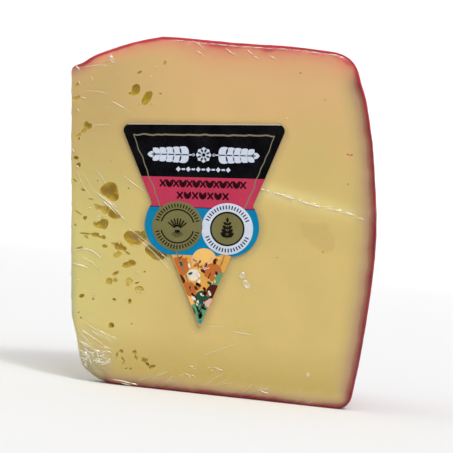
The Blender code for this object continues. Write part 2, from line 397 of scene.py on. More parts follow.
FLATTENED = 0.72                         # how much of an eye's depth pressing has left


def front_eye(across, up, wide, tall, tilt, deep, seed):
    place = on_cut(across, up)
    size = (wide / 2 * MM, deep * FLATTENED * MM, tall / 2 * MM)
    return eye_ball(place, size, (0, math.radians(tilt), 0), seed)


def thrown_eyes(dice):
    """Smaller eyes, thrown inside each zone."""
    balls = []
    for count, (left, low, right, top), widest in EYE_ZONES:
        for number in range(count):
            across, up = dice.uniform(left, right), dice.uniform(low, top)
            wide = dice.uniform(0.35, widest)
            tall = wide * dice.uniform(0.4, 1.2)
            deep = 0.35 + 0.4 * wide
            balls.append(front_eye(across, up, wide, tall, dice.uniform(-50, 50), deep, number))
    return balls


def hidden_eyes(dice):
    """The hidden cut's own eyes: the same kinds and sizes, thrown towards its thin end."""
    level = Vector((math.cos(WEDGE_ANGLE), math.sin(WEDGE_ANGLE), 0))
    balls = []
    for number in range(34):
        up = dice.uniform(12, 86) * MM
        out = (4.5 + 30 * dice.random() ** 1.6) * MM
        start = foot + lean * (up / lean.z) + level * out
        place = wedge_skin.ray_cast(start + cut_normal * 30 * MM, -cut_normal)[0]
        if place is None:
            continue
        wide = dice.choice((0.7, 1.1, 1.6, 2.4, 3.6, 4.6)) * dice.uniform(0.8, 1.2) / 2
        size = (wide * MM, wide * dice.uniform(0.5, 1.0) * MM, wide * dice.uniform(0.5, 1.1) * MM)
        turn = (0, dice.uniform(-0.7, 0.7), WEDGE_ANGLE)
        balls.append(eye_ball(place, size, turn, number))
    return balls


dice = random.Random(11)
balls = []
for number, eye in enumerate(LARGE_EYES + SMALL_EYES):
    balls.append(front_eye(*eye, number))
balls += thrown_eyes(dice)
balls += hidden_eyes(dice)
choose(*balls)
bpy.ops.object.join()
eye_cutter = bpy.context.object
print(len(balls), "eyes in the cutter")

# %% Take the eyes out of the paste
modify(paste, "BOOLEAN", object=eye_cutter, operation="DIFFERENCE", solver="EXACT", use_self=True)
bpy.data.objects.remove(eye_cutter)
report(paste)

# %% [markdown]
# ## What the paste's colour needs to know
# Red dye creeps from the wax into the paste and fades over a few millimetres: pink under the
# top, browner along the rim and the bottom. The paste is coloured deeper and more golden down
# in an eye, partly as painted shade, greyer along the thin end's edge as painted shade and film
# reflection, and darker right beside the label, which keeps the light out, with a broader
# painted shade to the label's right and a painted highlight along the film's seam. All of this
# follows the shape, so each point keeps the distances that it depends on.
# %% Store the distances
def nearest_heights(tree, rows):
    """How high up the tree's nearest place is, in millimetres, for each point."""
    return np.array([tree.find_nearest(Vector(row))[0].z for row in rows]) / MM


def inside_patch(rows, places):
    """Whether each point of the shown cut lies inside the outline of (across, up) places."""
    across, up = rows[:, 0] / MM, rows[:, 2] / MM
    inside = np.zeros(len(rows), bool)
    for (x1, z1), (x2, z2) in zip(places, places[1:] + places[:1]):
        crosses = (z1 > up) != (z2 > up)
        inside ^= crosses & (across < (x2 - x1) * (up - z1) / (z2 - z1 + 1e-9) + x1)
    return inside & (rows[:, 1] < FACE + 1 * MM)


WET_PATCH = ((23.5, 52.5), (25.0, 49.0), (28.0, 46.5), (32.0, 44.5), (34.5, 45.5), (34.5, 49.0),
             (31.5, 53.0))               # where the film has stuck to damp paste
SEAM_FROM, SEAM_TO = Vector((10.5, 61.0)), Vector((45.0, 55.0))     # the film's stuck-down end

rows = points_of(paste)
store(paste, "from_wax", gaps(wax_skin, rows))
wax_heights = nearest_heights(wax_skin, rows)
leaning = np.maximum(rows[:, 0], 0) / MM * 0.2   # the rim's wax starts lower, past the shoulder
store(paste, "wax_on_top", np.clip((wax_heights - leaning - 87) / 7, 0, 1))
store(paste, "wax_below", np.clip((5 - wax_heights) / 4, 0, 1))
eye_depth = gaps(wedge_skin, rows)
store(paste, "eye_depth", eye_depth)
label_skin = tree_of(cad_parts["label"])
store(paste, "from_label", gaps(label_skin, rows))
thin_end_inward = -(rows - np.array(thin_end_low)) @ np.array(outwards)
store(paste, "from_thin_end", thin_end_inward / MM)
store(paste, "wet", inside_patch(rows, WET_PATCH))
# painted shade: a broad darker olive patch to the right of the label
beside = ((rows[:, 0] / MM - 26) / 7) ** 2 + ((rows[:, 2] / MM - 70) / 11) ** 2
store(paste, "shade_right_of_label", np.exp(-beside))
# painted highlight: the paste is coloured paler along the film's seam, for the film's sheen there
seam_way = (SEAM_TO - SEAM_FROM).normalized()
off_seam = ((rows[:, 2] / MM - SEAM_FROM.y) * seam_way.x
            - (rows[:, 0] / MM - SEAM_FROM.x) * seam_way.y)
seam_sheen = np.exp(-((off_seam - 0.4) / 2.4) ** 2) * (rows[:, 1] < 0)
seam_sheen *= np.clip((rows[:, 0] / MM - SEAM_FROM.x + 2) / 4, 0, 1)
store(paste, "seam_sheen", seam_sheen * np.clip((46 - rows[:, 0] / MM) / 14, 0, 1))
print("deepest eye, mm:", round(float(eye_depth.max()), 2))

# %% [markdown]
# ## The stretched film
# Cling film is pulled round the wedge, so it spans the eyes like a drum and lies a hair off
# the paste. It starts as a coarser copy of the wedge, refined only where its folds show: the
# whole shown cut once, and the gathered places twice. Every point is then set on the wedge's
# own skin and lifted off it.
# %% A coarse skin, finer where it is gathered
FILM_LIFT = 0.17 * MM

film = bare_wedge("clear_film", 1.1)


def gathered(place):
    """Whether a place on the shown cut is where the film is bunched or creased."""
    across, up = place.x / MM, place.z / MM
    thin_end = across < -22
    low_band = up < 13 - 0.06 * (across + 40)
    overlap = across > 8 and abs(up - 61.5 + 0.17 * (across - 10)) < 4
    return thin_end or low_band or overlap


pick_faces(film, lambda face: face.normal.y < -0.5)
bpy.ops.mesh.subdivide(number_cuts=1)
close_edit()
pick_faces(film, lambda face: face.normal.y < -0.5 and gathered(face.center))
bpy.ops.mesh.subdivide(number_cuts=1)
close_edit()

film_rows, film_normals = points_of(film), points_of(film, "normal")
for number, row in enumerate(film_rows):
    near = wedge_skin.find_nearest(Vector(row))
    film_rows[number] = near[0]
report(film)

# %% [markdown]
# ## Folds
# Where film is bunched it rises in ridges that run on for centimetres and die away at both
# ends. A fold is a route on the surface with a height and a width; every film point beside it
# is lifted by a rounded ridge. The clear folds are listed one by one, each from one place to
# another with a little bow, and fine ones are thrown in where the film is gathered: the thin
# end, the toe, and the band above the bottom edge.
# %% Fold routes and how they lift the film
FOLDS = (
    # from across, up, to across, up, bowed by; height, half width; welts on it, their radius
    (-45.5, 90.5, -44.0, 89.0, 0.0, 0.20, 0.7, 2, 0.28),
    (-37.0, 95.0, -34.0, 92.5, 0.0, 0.30, 0.9, 2, 0.15),
    (-43.5, 90.0, -34.5, 91.5, 0.4, 0.18, 0.9, 1, 0.09),
    (-42.0, 83.5, -33.5, 83.0, 0.5, 0.16, 0.8, 1, 0.08),
    (-34.5, 81.5, -29.5, 79.5, 0.0, 0.20, 0.8, 1, 0.11),
    (-39.5, 73.5, -33.5, 74.5, 0.3, 0.14, 0.8, 1, 0.08),
    (-44.5, 67.0, -43.0, 65.5, 0.0, 0.15, 0.6, 2, 0.20),
    (-36.5, 61.5, -32.0, 56.5, 0.0, 0.30, 0.8, 1, 0.15),
    (-28.5, 60.5, -21.0, 56.0, 0.0, 0.16, 0.7, 2, 0.08),
    (-42.5, 61.5, -36.5, 52.5, -0.4, 0.20, 0.7, 1, 0.10),
    (-40.5, 60.5, -35.5, 54.0, 0.0, 0.18, 0.7, 1, 0.08),
    (-36.0, 55.0, -26.0, 47.0, 0.5, 0.42, 1.1, 5, 0.22),
    (-26.0, 46.0, -11.5, 37.0, 0.2, 0.34, 1.0, 3, 0.14),
    (-24.0, 44.0, -11.0, 34.5, 0.2, 0.22, 0.8, 2, 0.10),
    (-41.5, 37.0, -31.5, 35.5, 1.8, 0.28, 0.8, 2, 0.17),
    (-40.5, 35.5, -31.0, 31.5, 1.4, 0.24, 0.8, 1, 0.12),
    (-40.5, 33.5, -35.5, 32.5, 0.3, 0.24, 0.8, 2, 0.18),
    # the toe
    (-38.0, 18.5, -30.0, 14.5, 0.2, 0.22, 0.9, 1, 0.08),
    (-37.0, 15.0, -28.5, 11.0, 0.3, 0.34, 1.0, 2, 0.12),
    (-36.5, 12.0, -30.0, 8.5, 0.3, 0.38, 1.0, 3, 0.16),
    (-35.5, 9.0, -31.5, 4.5, 0.9, 0.45, 1.0, 3, 0.24),
    (-31.5, 6.5, -25.5, 7.5, -1.0, 0.50, 1.1, 4, 0.28),
    (-31.0, 9.5, -29.5, 6.5, 0.3, 0.40, 0.9, 2, 0.26),
    # below the label, and by the foot
    (6.0, 19.0, 14.0, 18.5, 0.1, 0.24, 0.7, 1, 0.17),
    (-1.5, 19.0, 5.5, 20.0, 0.4, 0.12, 0.8, 1, 0.06),
    (-1.0, 10.5, 9.0, 15.5, 0.0, 0.16, 0.9, 1, 0.08),
    (-26.0, 1.5, -17.5, 0.5, 0.2, 0.20, 0.7, 4, 0.22),
    (17.0, 3.5, 20.5, 2.5, -0.3, 0.20, 0.8, 1, 0.17),
)


def curved(route, steps=5):
    """A smooth line through the route's own points, each span cut into steps."""
    ends = [2 * route[0] - route[1]] + list(route) + [2 * route[-1] - route[-2]]
    line = []
    for before, start, end, after in zip(ends, ends[1:], ends[2:], ends[3:]):
        for step in range(steps):
            t = step / steps
            bend = (start * 2 + (end - before) * t
                    + (before * 2 - start * 5 + end * 4 - after) * t ** 2
                    + (start * 3 - before - end * 3 + after) * t ** 3)
            line.append(bend / 2)
    return line + [route[-1]]


def nearness(rows, route, half):
    """For each point closer to the route than half: its number, distance and share of the way."""
    line = np.array([tuple(place) for place in route])
    low, high = line.min(0) - half, line.max(0) + half
    chosen = np.where(np.all((rows > low) & (rows < high), axis=1))[0]
    spans = np.diff(line, axis=0)
    lengths = np.linalg.norm(spans, axis=1)
    passed = np.concatenate(([0.0], np.cumsum(lengths)))
    best = np.full(len(chosen), 1e9)
    share = np.zeros(len(chosen))
    for number, span in enumerate(spans):
        offset = rows[chosen] - line[number]
        t = np.clip(offset @ span / (span @ span), 0, 1)
        far = np.linalg.norm(offset - t[:, None] * span, axis=1)
        closer = far < best
        best[closer] = far[closer]
        share[closer] = ((passed[number] + t * lengths[number]) / passed[-1])[closer]
    keep = best < half
    return chosen[keep], best[keep], share[keep]


def raise_fold(heights, rows, route, high, half):
    """Lifts the points beside the route into a ridge that dies away at both ends."""
    chosen, far, share = nearness(rows, route, half)
    ridge = (1 - far / half) ** 1.4 * np.sin(math.pi * share) ** 0.6
    heights[chosen] = np.maximum(heights[chosen], high * ridge) + 0.25 * high * ridge


def bowed(start, end, bow):
    """A smooth line on the shown cut between two places, its middle pushed aside by bow."""
    way = (end - start).normalized()
    middle = (start + end) / 2 + Vector((-way.y, way.x)) * bow
    return curved([on_cut(*place) for place in (start, middle, end)])


heights = np.zeros(len(film_rows))
fold_lines = []
for left, low, right, top, bow, high, half, welts, radius in FOLDS:
    line = bowed(Vector((left, low)), Vector((right, top)), bow)
    raise_fold(heights, film_rows, line, high * MM, half * MM)
    fold_lines.append((line, welts, radius))
print(len(FOLDS), "folds by hand")

# %% Fine folds where the film is gathered
def thrown_line(dice, box, heading, spread, length):
    """A short bowed line somewhere in a box (left, low, right, top), running about one way."""
    left, low, right, top = box
    middle = Vector((dice.uniform(left, right), dice.uniform(low, top)))
    angle = math.radians(heading + dice.uniform(-spread, spread))
    half_way = Vector((math.cos(angle), math.sin(angle))) * dice.uniform(*length) / 2
    bow = dice.uniform(-0.24, 0.24) * half_way.length
    return bowed(middle - half_way, middle + half_way, bow)


FOLD_ZONES = (
    # how many, box, heading, spread, length, height, half width
    (40, (-40, 1.5, -25, 14), -30, 24, (3, 9), (0.16, 0.46), (0.45, 0.85)),
    (14, (-40, 12, -32, 20), -38, 10, (4, 9), (0.10, 0.28), (0.5, 0.8)),
    (26, (-43, 20, -28, 62), -38, 30, (3, 9), (0.05, 0.14), (0.5, 0.9)),
    (16, (-46, 62, -26, 92), -12, 26, (4, 12), (0.03, 0.09), (0.6, 1.0)),
    (60, (-24, 1, 41, 7), 38, 22, (2, 8), (0.06, 0.2), (0.4, 0.8)),
    (34, (-26, 98, 36, 102.5), -28, 30, (1.5, 6), (0.05, 0.2), (0.5, 0.9)),
    (12, (8, 20, 42, 96), 40, 80, (6, 16), (0.015, 0.04), (1.2, 2.2)),
)
dice = random.Random(23)
for count, box, heading, spread, length, high, half in FOLD_ZONES:
    for number in range(count):
        line = thrown_line(dice, box, heading, spread, length)
        raise_fold(heights, film_rows, line, dice.uniform(*high) * MM, dice.uniform(*half) * MM)

# %% [markdown]
# ## The overlap and the milky places
# Across the right half of the cut the film's end is stuck down over its first turn. That seam
# is a low swell with a rough, shiny crest, added to the same heights. Where layers pile up
# the film also turns a little milky, so each point keeps a share of white for the material;
# on the folds' ridges that white is partly a painted glint.
# %% Seam, blister, haze
def seam_line():
    """The overlap's edge: nearly straight, and a little wavy where the film was torn off."""
    places = []
    for number in range(12):
        share = number / 11
        place = SEAM_FROM.lerp(SEAM_TO, share)
        places.append(on_cut(place.x, place.y + 0.16 * math.sin(11 * share)))
    return curved(places)


def raise_seam(heights, rows):
    """A frayed ridge along the seam, on a low, broad swell."""
    chosen, far, share = nearness(rows, seam_line(), 2.4 * MM)
    frayed = 0.5 + 0.6 * waves(rows[chosen], 1.5, 5) + 0.5 * waves(rows[chosen], 0.6, 6)
    crest = np.clip(1 - far / (0.95 * MM), 0, 1) ** 1.2
    swell = np.clip(1 - far / (2.4 * MM), 0, 1) ** 2
    strength = np.clip(np.sin(math.pi * share) + 0.35, 0, 1)
    heights[chosen] += (0.36 * crest * np.clip(frayed, 0, 1.4) + 0.18 * swell) * strength * MM


HAZE_PATCHES = (
    # milky places, partly painted glints: across, up, wide, tall, share of white
    (-30.5, 7.5, 11, 6, 1.0), (-36, 12, 9, 12, 0.2), (-38, 35, 9, 4, 0.25), (-32, 52, 8, 3, 0.3),
    (18, 59.5, 15, 3, 0.7), (31, 57.5, 28, 2.6, 0.45), (-45.5, 90, 3, 2.6, 0.6),
    (18.5, 3.5, 3.6, 1.6, 0.6),
)


def haze(rows):
    """Milkiness of the film, partly painted glint, for each point of the shown cut, patchy at a
    millimetre's scale.
    """
    front = rows[:, 1] < FACE + 1.5 * MM
    total = np.zeros(len(rows))
    for across, up, wide, tall, share in HAZE_PATCHES:
        along = (rows[:, 0] / MM - across) / (wide / 2)
        over = (rows[:, 2] / MM - up) / (tall / 2)
        total = np.maximum(total, share * np.exp(-(along ** 2 + over ** 2)))
    patchy = np.clip(0.75 + 0.7 * waves(rows, 1.8, 12), 0.1, 1.3)
    return total * patchy * front


raise_seam(heights, film_rows)

beside_label = gaps(label_skin, film_rows)
heights *= np.clip((beside_label - 0.55) / 1.2, 0.05, 1)
heights = np.minimum(heights, 0.85 * MM)
# painted glint: fold ridges get a share of white by their height, more in the toe; partly real milkiness
in_toe = np.clip((-24 - film_rows[:, 0] / MM) / 4, 0, 1) * np.clip(
    (18 - film_rows[:, 2] / MM) / 6, 0, 1)
ridge_milk_and_glint = heights / (0.45 * MM) * (0.4 + 0.6 * in_toe)
bunching = np.maximum(ridge_milk_and_glint, haze(film_rows))

film_rows += film_normals * (FILM_LIFT + heights)[:, None]
wrinkle = 0.04 * waves(film_rows, 3.0, 8) + 0.025 * waves(film_rows, 1.2, 9)
film_rows += film_normals * (wrinkle * MM)[:, None]
film_rows[:, 2] = np.maximum(film_rows[:, 2], -0.05 * MM)
move_points(film, film_rows)
store(film, "bunching", np.clip(bunching, 0, 1))
report(film)

# %% [markdown]
# ## Colours and nodes
# A colour is written as the sRGB hex that a paint chart would give, and turned to the linear
# numbers that Blender works in. One helper adds a node, sets it and links it. Pattern sizes
# are real ones: a noise of 6 millimetres has a scale of one over 0.006.
# %% Helpers for materials
def linear(hex_colour):
    """sRGB hex, with or without two digits of alpha, to linear red, green, blue and alpha."""
    values = [int(hex_colour[n:n + 2], 16) / 255 for n in (1, 3, 5)]
    alpha = int(hex_colour[7:9] or "FF", 16) / 255
    curve = [v / 12.92 if v <= 0.04045 else ((v + 0.055) / 1.055) ** 2.4 for v in values]
    return (*curve, alpha)


def add(tree, kind, inputs=None, stops=None, **settings):
    """Adds a node with its settings; an input is a number, a colour, a node or a socket."""
    node = tree.nodes.new(kind)
    for name, value in settings.items():
        setattr(node, name, value)
    for name, value in (inputs or {}).items():
        if isinstance(value, bpy.types.Node):
            value = next(socket for socket in value.outputs if socket.enabled)
        if isinstance(value, bpy.types.NodeSocket):
            tree.links.new(value, node.inputs[name])
        else:
            node.inputs[name].default_value = value
    for number, (place, hex_colour) in enumerate(stops or ()):
        ramp = node.color_ramp.elements
        stop = ramp[number] if number < 2 else ramp.new(place)
        stop.position = place
        stop.color = linear(hex_colour)
    return node


def per_mm(size):
    """The scale that gives a pattern features of that many millimetres."""
    return 1 / (size * MM)


def start_material(name):
    material = bpy.data.materials.new(name)
    material.use_nodes = True
    material.node_tree.nodes.clear()
    place = add(material.node_tree, "ShaderNodeTexCoord").outputs["Object"]
    return material, material.node_tree, place


def finish_material(material, shader):
    add(material.node_tree, "ShaderNodeOutputMaterial", {"Surface": shader})
    return material


# %% [markdown]
# ## Pressed paste
# Young pressed cheese is a gel full of fat: light sinks a millimetre or two in, so it glows
# and its hollows never go black. Subsurface scattering gives that. Its yellow drifts: peach
# under the top, khaki to straw down the thin end, darker towards the top there. Over that
# yellow, colour ramps lay the dye by the distance to the wax, and the gold in the eyes by their
# depth, darker deeper down as partly painted shade. The ramps' alpha says how much of the
# yellow they hide, so each stain fades out at its own end. Further mixes are painted shade,
# shadow and highlight: darker towards the bottom, to the label's right, along the thin end's
# edge, on the worn toe and by the foot, and paler along the film's seam.
# %% Material: paste
def paste_material():
    material, tree, place = start_material("pressed_cheese_paste")
    stored = {}
    for name in ("from_wax", "wax_on_top", "wax_below", "eye_depth", "from_label", "from_thin_end",
                 "wet", "shade_right_of_label", "seam_sheen"):
        stored[name] = add(tree, "ShaderNodeAttribute", attribute_name=name).outputs["Fac"]
    spot = add(tree, "ShaderNodeSeparateXYZ", {"Vector": place})

    # the yellow: two straws in soft clouds, khaki at the thin end and darker towards its top,
    # peach towards the top
    cloud = add(tree, "ShaderNodeTexNoise", {"Vector": place, "Scale": per_mm(14), "Detail": 3.0})
    cloudy = add(tree, "ShaderNodeMapRange", {"Value": cloud, "From Min": 0.35, "From Max": 0.65})
    colour = add(tree, "ShaderNodeMix", {0: cloudy, 6: linear("#CAB369"), 7: linear("#D1B66D")},
                 data_type="RGBA")
    thin_end = add(tree, "ShaderNodeMapRange", {"Value": spot.outputs["X"], "From Min": -8 * MM,
                                                "From Max": -36 * MM})
    # the thin end's khaki is darker towards the top
    low_down = add(tree, "ShaderNodeMapRange", {"Value": spot.outputs["Z"], "From Min": 76 * MM,
                                                "From Max": 42 * MM})
    thin_end_tone = add(tree, "ShaderNodeMix", {0: low_down, 6: linear("#BAA260"), 7: linear("#CDBF73")},
               data_type="RGBA")
    colour = add(tree, "ShaderNodeMix", {0: thin_end, 6: colour, 7: thin_end_tone}, data_type="RGBA")
    high_up = add(tree, "ShaderNodeMapRange", {"Value": spot.outputs["Z"], "From Min": 58 * MM,
                                               "From Max": 98 * MM, "To Max": 1.0})
    full_side = add(tree, "ShaderNodeMath", {0: thin_end, 1: -0.6, 2: 1.0},
                    operation="MULTIPLY_ADD")
    peach = add(tree, "ShaderNodeMath", {0: high_up, 1: full_side}, operation="MULTIPLY")
    colour = add(tree, "ShaderNodeMix", {0: peach, 6: colour, 7: linear("#D5AB75")},
                 data_type="RGBA")

    # painted shade: the paste is coloured darker towards the bottom, where less light falls
    painted_low_shade = add(tree, "ShaderNodeMapRange", {"Value": spot.outputs["Z"],
                                                   "From Min": 17 * MM, "From Max": 6 * MM})
    colour = add(tree, "ShaderNodeMix", {0: painted_low_shade, 6: colour, 7: linear("#BDA557")},
                 data_type="RGBA")
    # painted shade: darker olive to the right of the label
    olive = add(tree, "ShaderNodeMath", {0: stored["shade_right_of_label"], 1: 0.55}, operation="MULTIPLY")
    colour = add(tree, "ShaderNodeMix", {0: olive, 6: colour, 7: linear("#C2AE66")},
                 data_type="RGBA")

    # painted highlight: paler along the film's seam
    pale = add(tree, "ShaderNodeMath", {0: stored["seam_sheen"], 1: 0.6}, operation="MULTIPLY")
    colour = add(tree, "ShaderNodeMix", {0: pale, 6: colour, 7: linear("#E6D58A")},
                 data_type="RGBA")

    # dye from the wax: how far it is, unsettled by noise, and whether the wax is above
    drift = add(tree, "ShaderNodeTexNoise", {"Vector": place, "Scale": per_mm(6), "Detail": 2.0})
    drift_mm = add(tree, "ShaderNodeMapRange", {"Value": drift, "From Min": 0.3, "From Max": 0.7,
                                                "To Min": -0.7, "To Max": 0.7})
    quicker = add(tree, "ShaderNodeMath", {0: thin_end, 1: 1.2, 2: 1.0}, operation="MULTIPLY_ADD")
    top_mm = add(tree, "ShaderNodeMath", {0: stored["from_wax"], 1: quicker, 2: drift_mm},
                 operation="MULTIPLY_ADD")
    shorter = add(tree, "ShaderNodeMath", {0: stored["wax_below"], 1: 0.6, 2: 1.0},
                  operation="MULTIPLY_ADD")
    side_mm = add(tree, "ShaderNodeMath", {0: drift_mm, 1: 0.4, 2: stored["from_wax"]},
                  operation="MULTIPLY_ADD")
    side_mm = add(tree, "ShaderNodeMath", {0: side_mm, 1: shorter}, operation="MULTIPLY")
    top_share = add(tree, "ShaderNodeMapRange", {"Value": top_mm, "From Max": 10.0})
    side_share = add(tree, "ShaderNodeMapRange", {"Value": side_mm, "From Max": 10.0})
    top_dye = add(tree, "ShaderNodeValToRGB", {"Fac": top_share},
                  stops=((0, "#B2343B"), (0.95, "#D2A77100"), (0.07, "#C35346"), (0.11, "#D2705C"),
                         (0.17, "#D28A68"), (0.28, "#D4966C"), (0.5, "#D69F6EB0")))
    side_dye = add(tree, "ShaderNodeValToRGB", {"Fac": side_share},
                   stops=((0, "#700C0C"), (0.72, "#C2AA6B00"), (0.075, "#904838"),
                          (0.13, "#956646"), (0.18, "#A78361"), (0.26, "#B39167"),
                          (0.42, "#BCA268C0")))
    above = stored["wax_on_top"]
    dye = add(tree, "ShaderNodeMix", {0: above, 6: side_dye, 7: top_dye}, data_type="RGBA")
    hiding = add(tree, "ShaderNodeMix", {0: above, 2: side_dye.outputs["Alpha"],
                                         3: top_dye.outputs["Alpha"]})
    colour = add(tree, "ShaderNodeMix", {0: hiding, 6: colour, 7: dye}, data_type="RGBA")

    # painted shade and film reflection on the thin end's edge, painted shade on the worn toe,
    # shade beside the label, damp patch, gold in the eyes, partly painted shade, painted shadow by the
    # foot
    edge = add(tree, "ShaderNodeMapRange", {"Value": stored["from_thin_end"], "From Min": 2.2,
                                            "From Max": 0.2, "To Max": 0.7})
    near_foot = add(tree, "ShaderNodeMapRange", {"Value": spot.outputs["Z"], "From Min": 56 * MM,
                                                 "From Max": 26 * MM})
    # painted shade and film reflection: grey-green along the thin end's edge, low down
    painted_edge_shade = add(tree, "ShaderNodeMath", {0: edge, 1: near_foot}, operation="MULTIPLY")
    colour = add(tree, "ShaderNodeMix", {0: painted_edge_shade, 6: colour, 7: linear("#ACAB7E")},
                 data_type="RGBA")
    shade = add(tree, "ShaderNodeMapRange", {"Value": stored["from_label"], "From Min": 2.6,
                                             "From Max": 0.3, "To Max": 0.55},
                interpolation_type="SMOOTHSTEP")
    colour = add(tree, "ShaderNodeMix", {0: shade, 6: colour, 7: linear("#AB9662")},
                 data_type="RGBA")
    damp = add(tree, "ShaderNodeMath", {0: stored["wet"], 1: 0.45}, operation="MULTIPLY")
    colour = add(tree, "ShaderNodeMix", {0: damp, 6: colour, 7: linear("#BE9F5E")},
                 data_type="RGBA")
    # partly painted shade: the eyes' gold grows darker with depth down the hollow
    in_eye = add(tree, "ShaderNodeMapRange", {"Value": stored["eye_depth"], "From Max": 2.5})
    gold = add(tree, "ShaderNodeValToRGB", {"Fac": in_eye},
               stops=((0.02, "#CBB36B00"), (1, "#9E8004"), (0.08, "#C3A838C8"),
                      (0.3, "#BFA116"), (0.6, "#B29206")))
    colour = add(tree, "ShaderNodeMix", {0: gold.outputs["Alpha"], 6: colour, 7: gold},
                 data_type="RGBA")

    # painted shade: the worn toe is coloured darker grey-olive, where its edge turns away
    toe_shade_high = add(tree, "ShaderNodeMapRange", {"Value": spot.outputs["Z"], "From Min": 10 * MM,
                                                 "From Max": 4 * MM, "To Max": 0.9})
    toe_shade_wide = add(tree, "ShaderNodeMapRange", {"Value": spot.outputs["X"],
                                                 "From Min": -24 * MM, "From Max": -33 * MM})
    worn = add(tree, "ShaderNodeMath", {0: toe_shade_high, 1: toe_shade_wide}, operation="MULTIPLY")
    colour = add(tree, "ShaderNodeMix", {0: worn, 6: colour, 7: linear("#8C8560")},
                 data_type="RGBA")

    # painted shadow: darker brown along the bottom edge, from the middle towards the toe
    foot_shadow_high = add(tree, "ShaderNodeMapRange", {"Value": spot.outputs["Z"], "From Min": 5 * MM,
                                                 "From Max": 1 * MM, "To Max": 0.5})
    foot_shadow_wide = add(tree, "ShaderNodeMapRange", {"Value": spot.outputs["X"],
                                                 "From Min": 4 * MM, "From Max": -22 * MM})
    painted_foot_shadow = add(tree, "ShaderNodeMath", {0: foot_shadow_high, 1: foot_shadow_wide}, operation="MULTIPLY")
    colour = add(tree, "ShaderNodeMix", {0: painted_foot_shadow, 6: colour, 7: linear("#94804E")},
                 data_type="RGBA")
    curd = add(tree, "ShaderNodeTexNoise", {"Vector": place, "Scale": per_mm(1.6), "Detail": 2.0})
    grain = add(tree, "ShaderNodeBump", {"Height": curd, "Strength": 0.12, "Distance": 0.3 * MM})
    shader = add(tree, "ShaderNodeBsdfPrincipled",
                 {"Base Color": colour, "Roughness": 0.42, "IOR": 1.45,
                  "Subsurface Weight": 0.4, "Subsurface Radius": (1.0, 0.65, 0.3),
                  "Subsurface Scale": 1.3 * MM, "Normal": grain})
    return finish_material(material, shader)


def finish_with(piece, material, smooth=True, angle=None):
    """Gives the piece its material and slot, and smooth shading."""
    piece.data.materials.clear()
    piece.data.materials.append(material)
    choose(piece)
    if angle:
        bpy.ops.object.shade_smooth_by_angle(angle=math.radians(angle))
    elif smooth:
        bpy.ops.object.shade_smooth()
    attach(piece, "root")


finish_with(paste, paste_material(), angle=38)
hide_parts("cheese_wedge")

# %% [markdown]
# ## Red cheese wax
# Cheese wax is soft paraffin with a strong red dye, brushed or dipped on in a thin coat. It
# is smooth and a little greasy, so it gets a low roughness and a thin waxy depth. Its red is
# painted light: brighter on top and darker down the rim and below, as light falls from above.
# %% Material: wax
def wax_material():
    material, tree, place = start_material("dipped_red_cheese_wax")
    spot = add(tree, "ShaderNodeSeparateXYZ", {"Vector": place})
    pooled = add(tree, "ShaderNodeTexNoise", {"Vector": place, "Scale": per_mm(9), "Detail": 3.0})
    fine = add(tree, "ShaderNodeTexNoise", {"Vector": place, "Scale": per_mm(0.9), "Detail": 2.0})
    # painted light: the darker red is for the shaded rim and bottom, the brighter one for the lit top
    thick = add(tree, "ShaderNodeValToRGB", {"Fac": pooled},
                stops=((0.3, "#7C0810"), (0.72, "#9C101A")))
    thin = add(tree, "ShaderNodeValToRGB", {"Fac": pooled},
               stops=((0.3, "#AE1622"), (0.72, "#CC2A38")))
    above = add(tree, "ShaderNodeMapRange", {"Value": spot.outputs["Z"], "From Min": 80 * MM,
                                             "From Max": 98 * MM})
    red = add(tree, "ShaderNodeMix", {0: above, 6: thick, 7: thin}, data_type="RGBA")
    bump = add(tree, "ShaderNodeBump", {"Height": fine, "Strength": 0.2, "Distance": 0.15 * MM})
    shader = add(tree, "ShaderNodeBsdfPrincipled",
                 {"Base Color": red, "Roughness": 0.36, "IOR": 1.44, "Specular IOR Level": 0.2,
                  "Subsurface Weight": 0.15, "Subsurface Radius": (1.0, 0.2, 0.15),
                  "Subsurface Scale": 0.8 * MM, "Normal": bump})
    return finish_material(material, shader)


finish_with(wax, wax_material(), angle=50)

# %% Two crumbs of wax on the cut
WAX_CRUMBS = (
    # across, up, wide, tall, tilt, proud of the paste by
    (35.5, 73.5, 1.0, 0.45, 24, 0.1), (36.5, 73.5, 1.0, 0.5, -20, 0.1),
    (36.5, 65.0, 0.5, 0.45, 0, 0.1),
)
crumbs = [front_eye(*crumb, number) for number, crumb in enumerate(WAX_CRUMBS)]
choose(*crumbs)
bpy.ops.object.join()
wax_crumbs = bpy.context.object
wax_crumbs.name = wax_crumbs.data.name = "wax_crumbs"
material, tree, place = start_material("thin_red_wax_crumb")
tone = add(tree, "ShaderNodeTexNoise", {"Vector": place, "Scale": per_mm(0.5)})
red = add(tree, "ShaderNodeValToRGB", {"Fac": tone}, stops=((0.35, "#B43A24"), (0.65, "#CC5A38")))
shader = add(tree, "ShaderNodeBsdfPrincipled", {"Base Color": red, "Roughness": 0.4})
finish_with(wax_crumbs, finish_material(material, shader))
report(wax_crumbs)

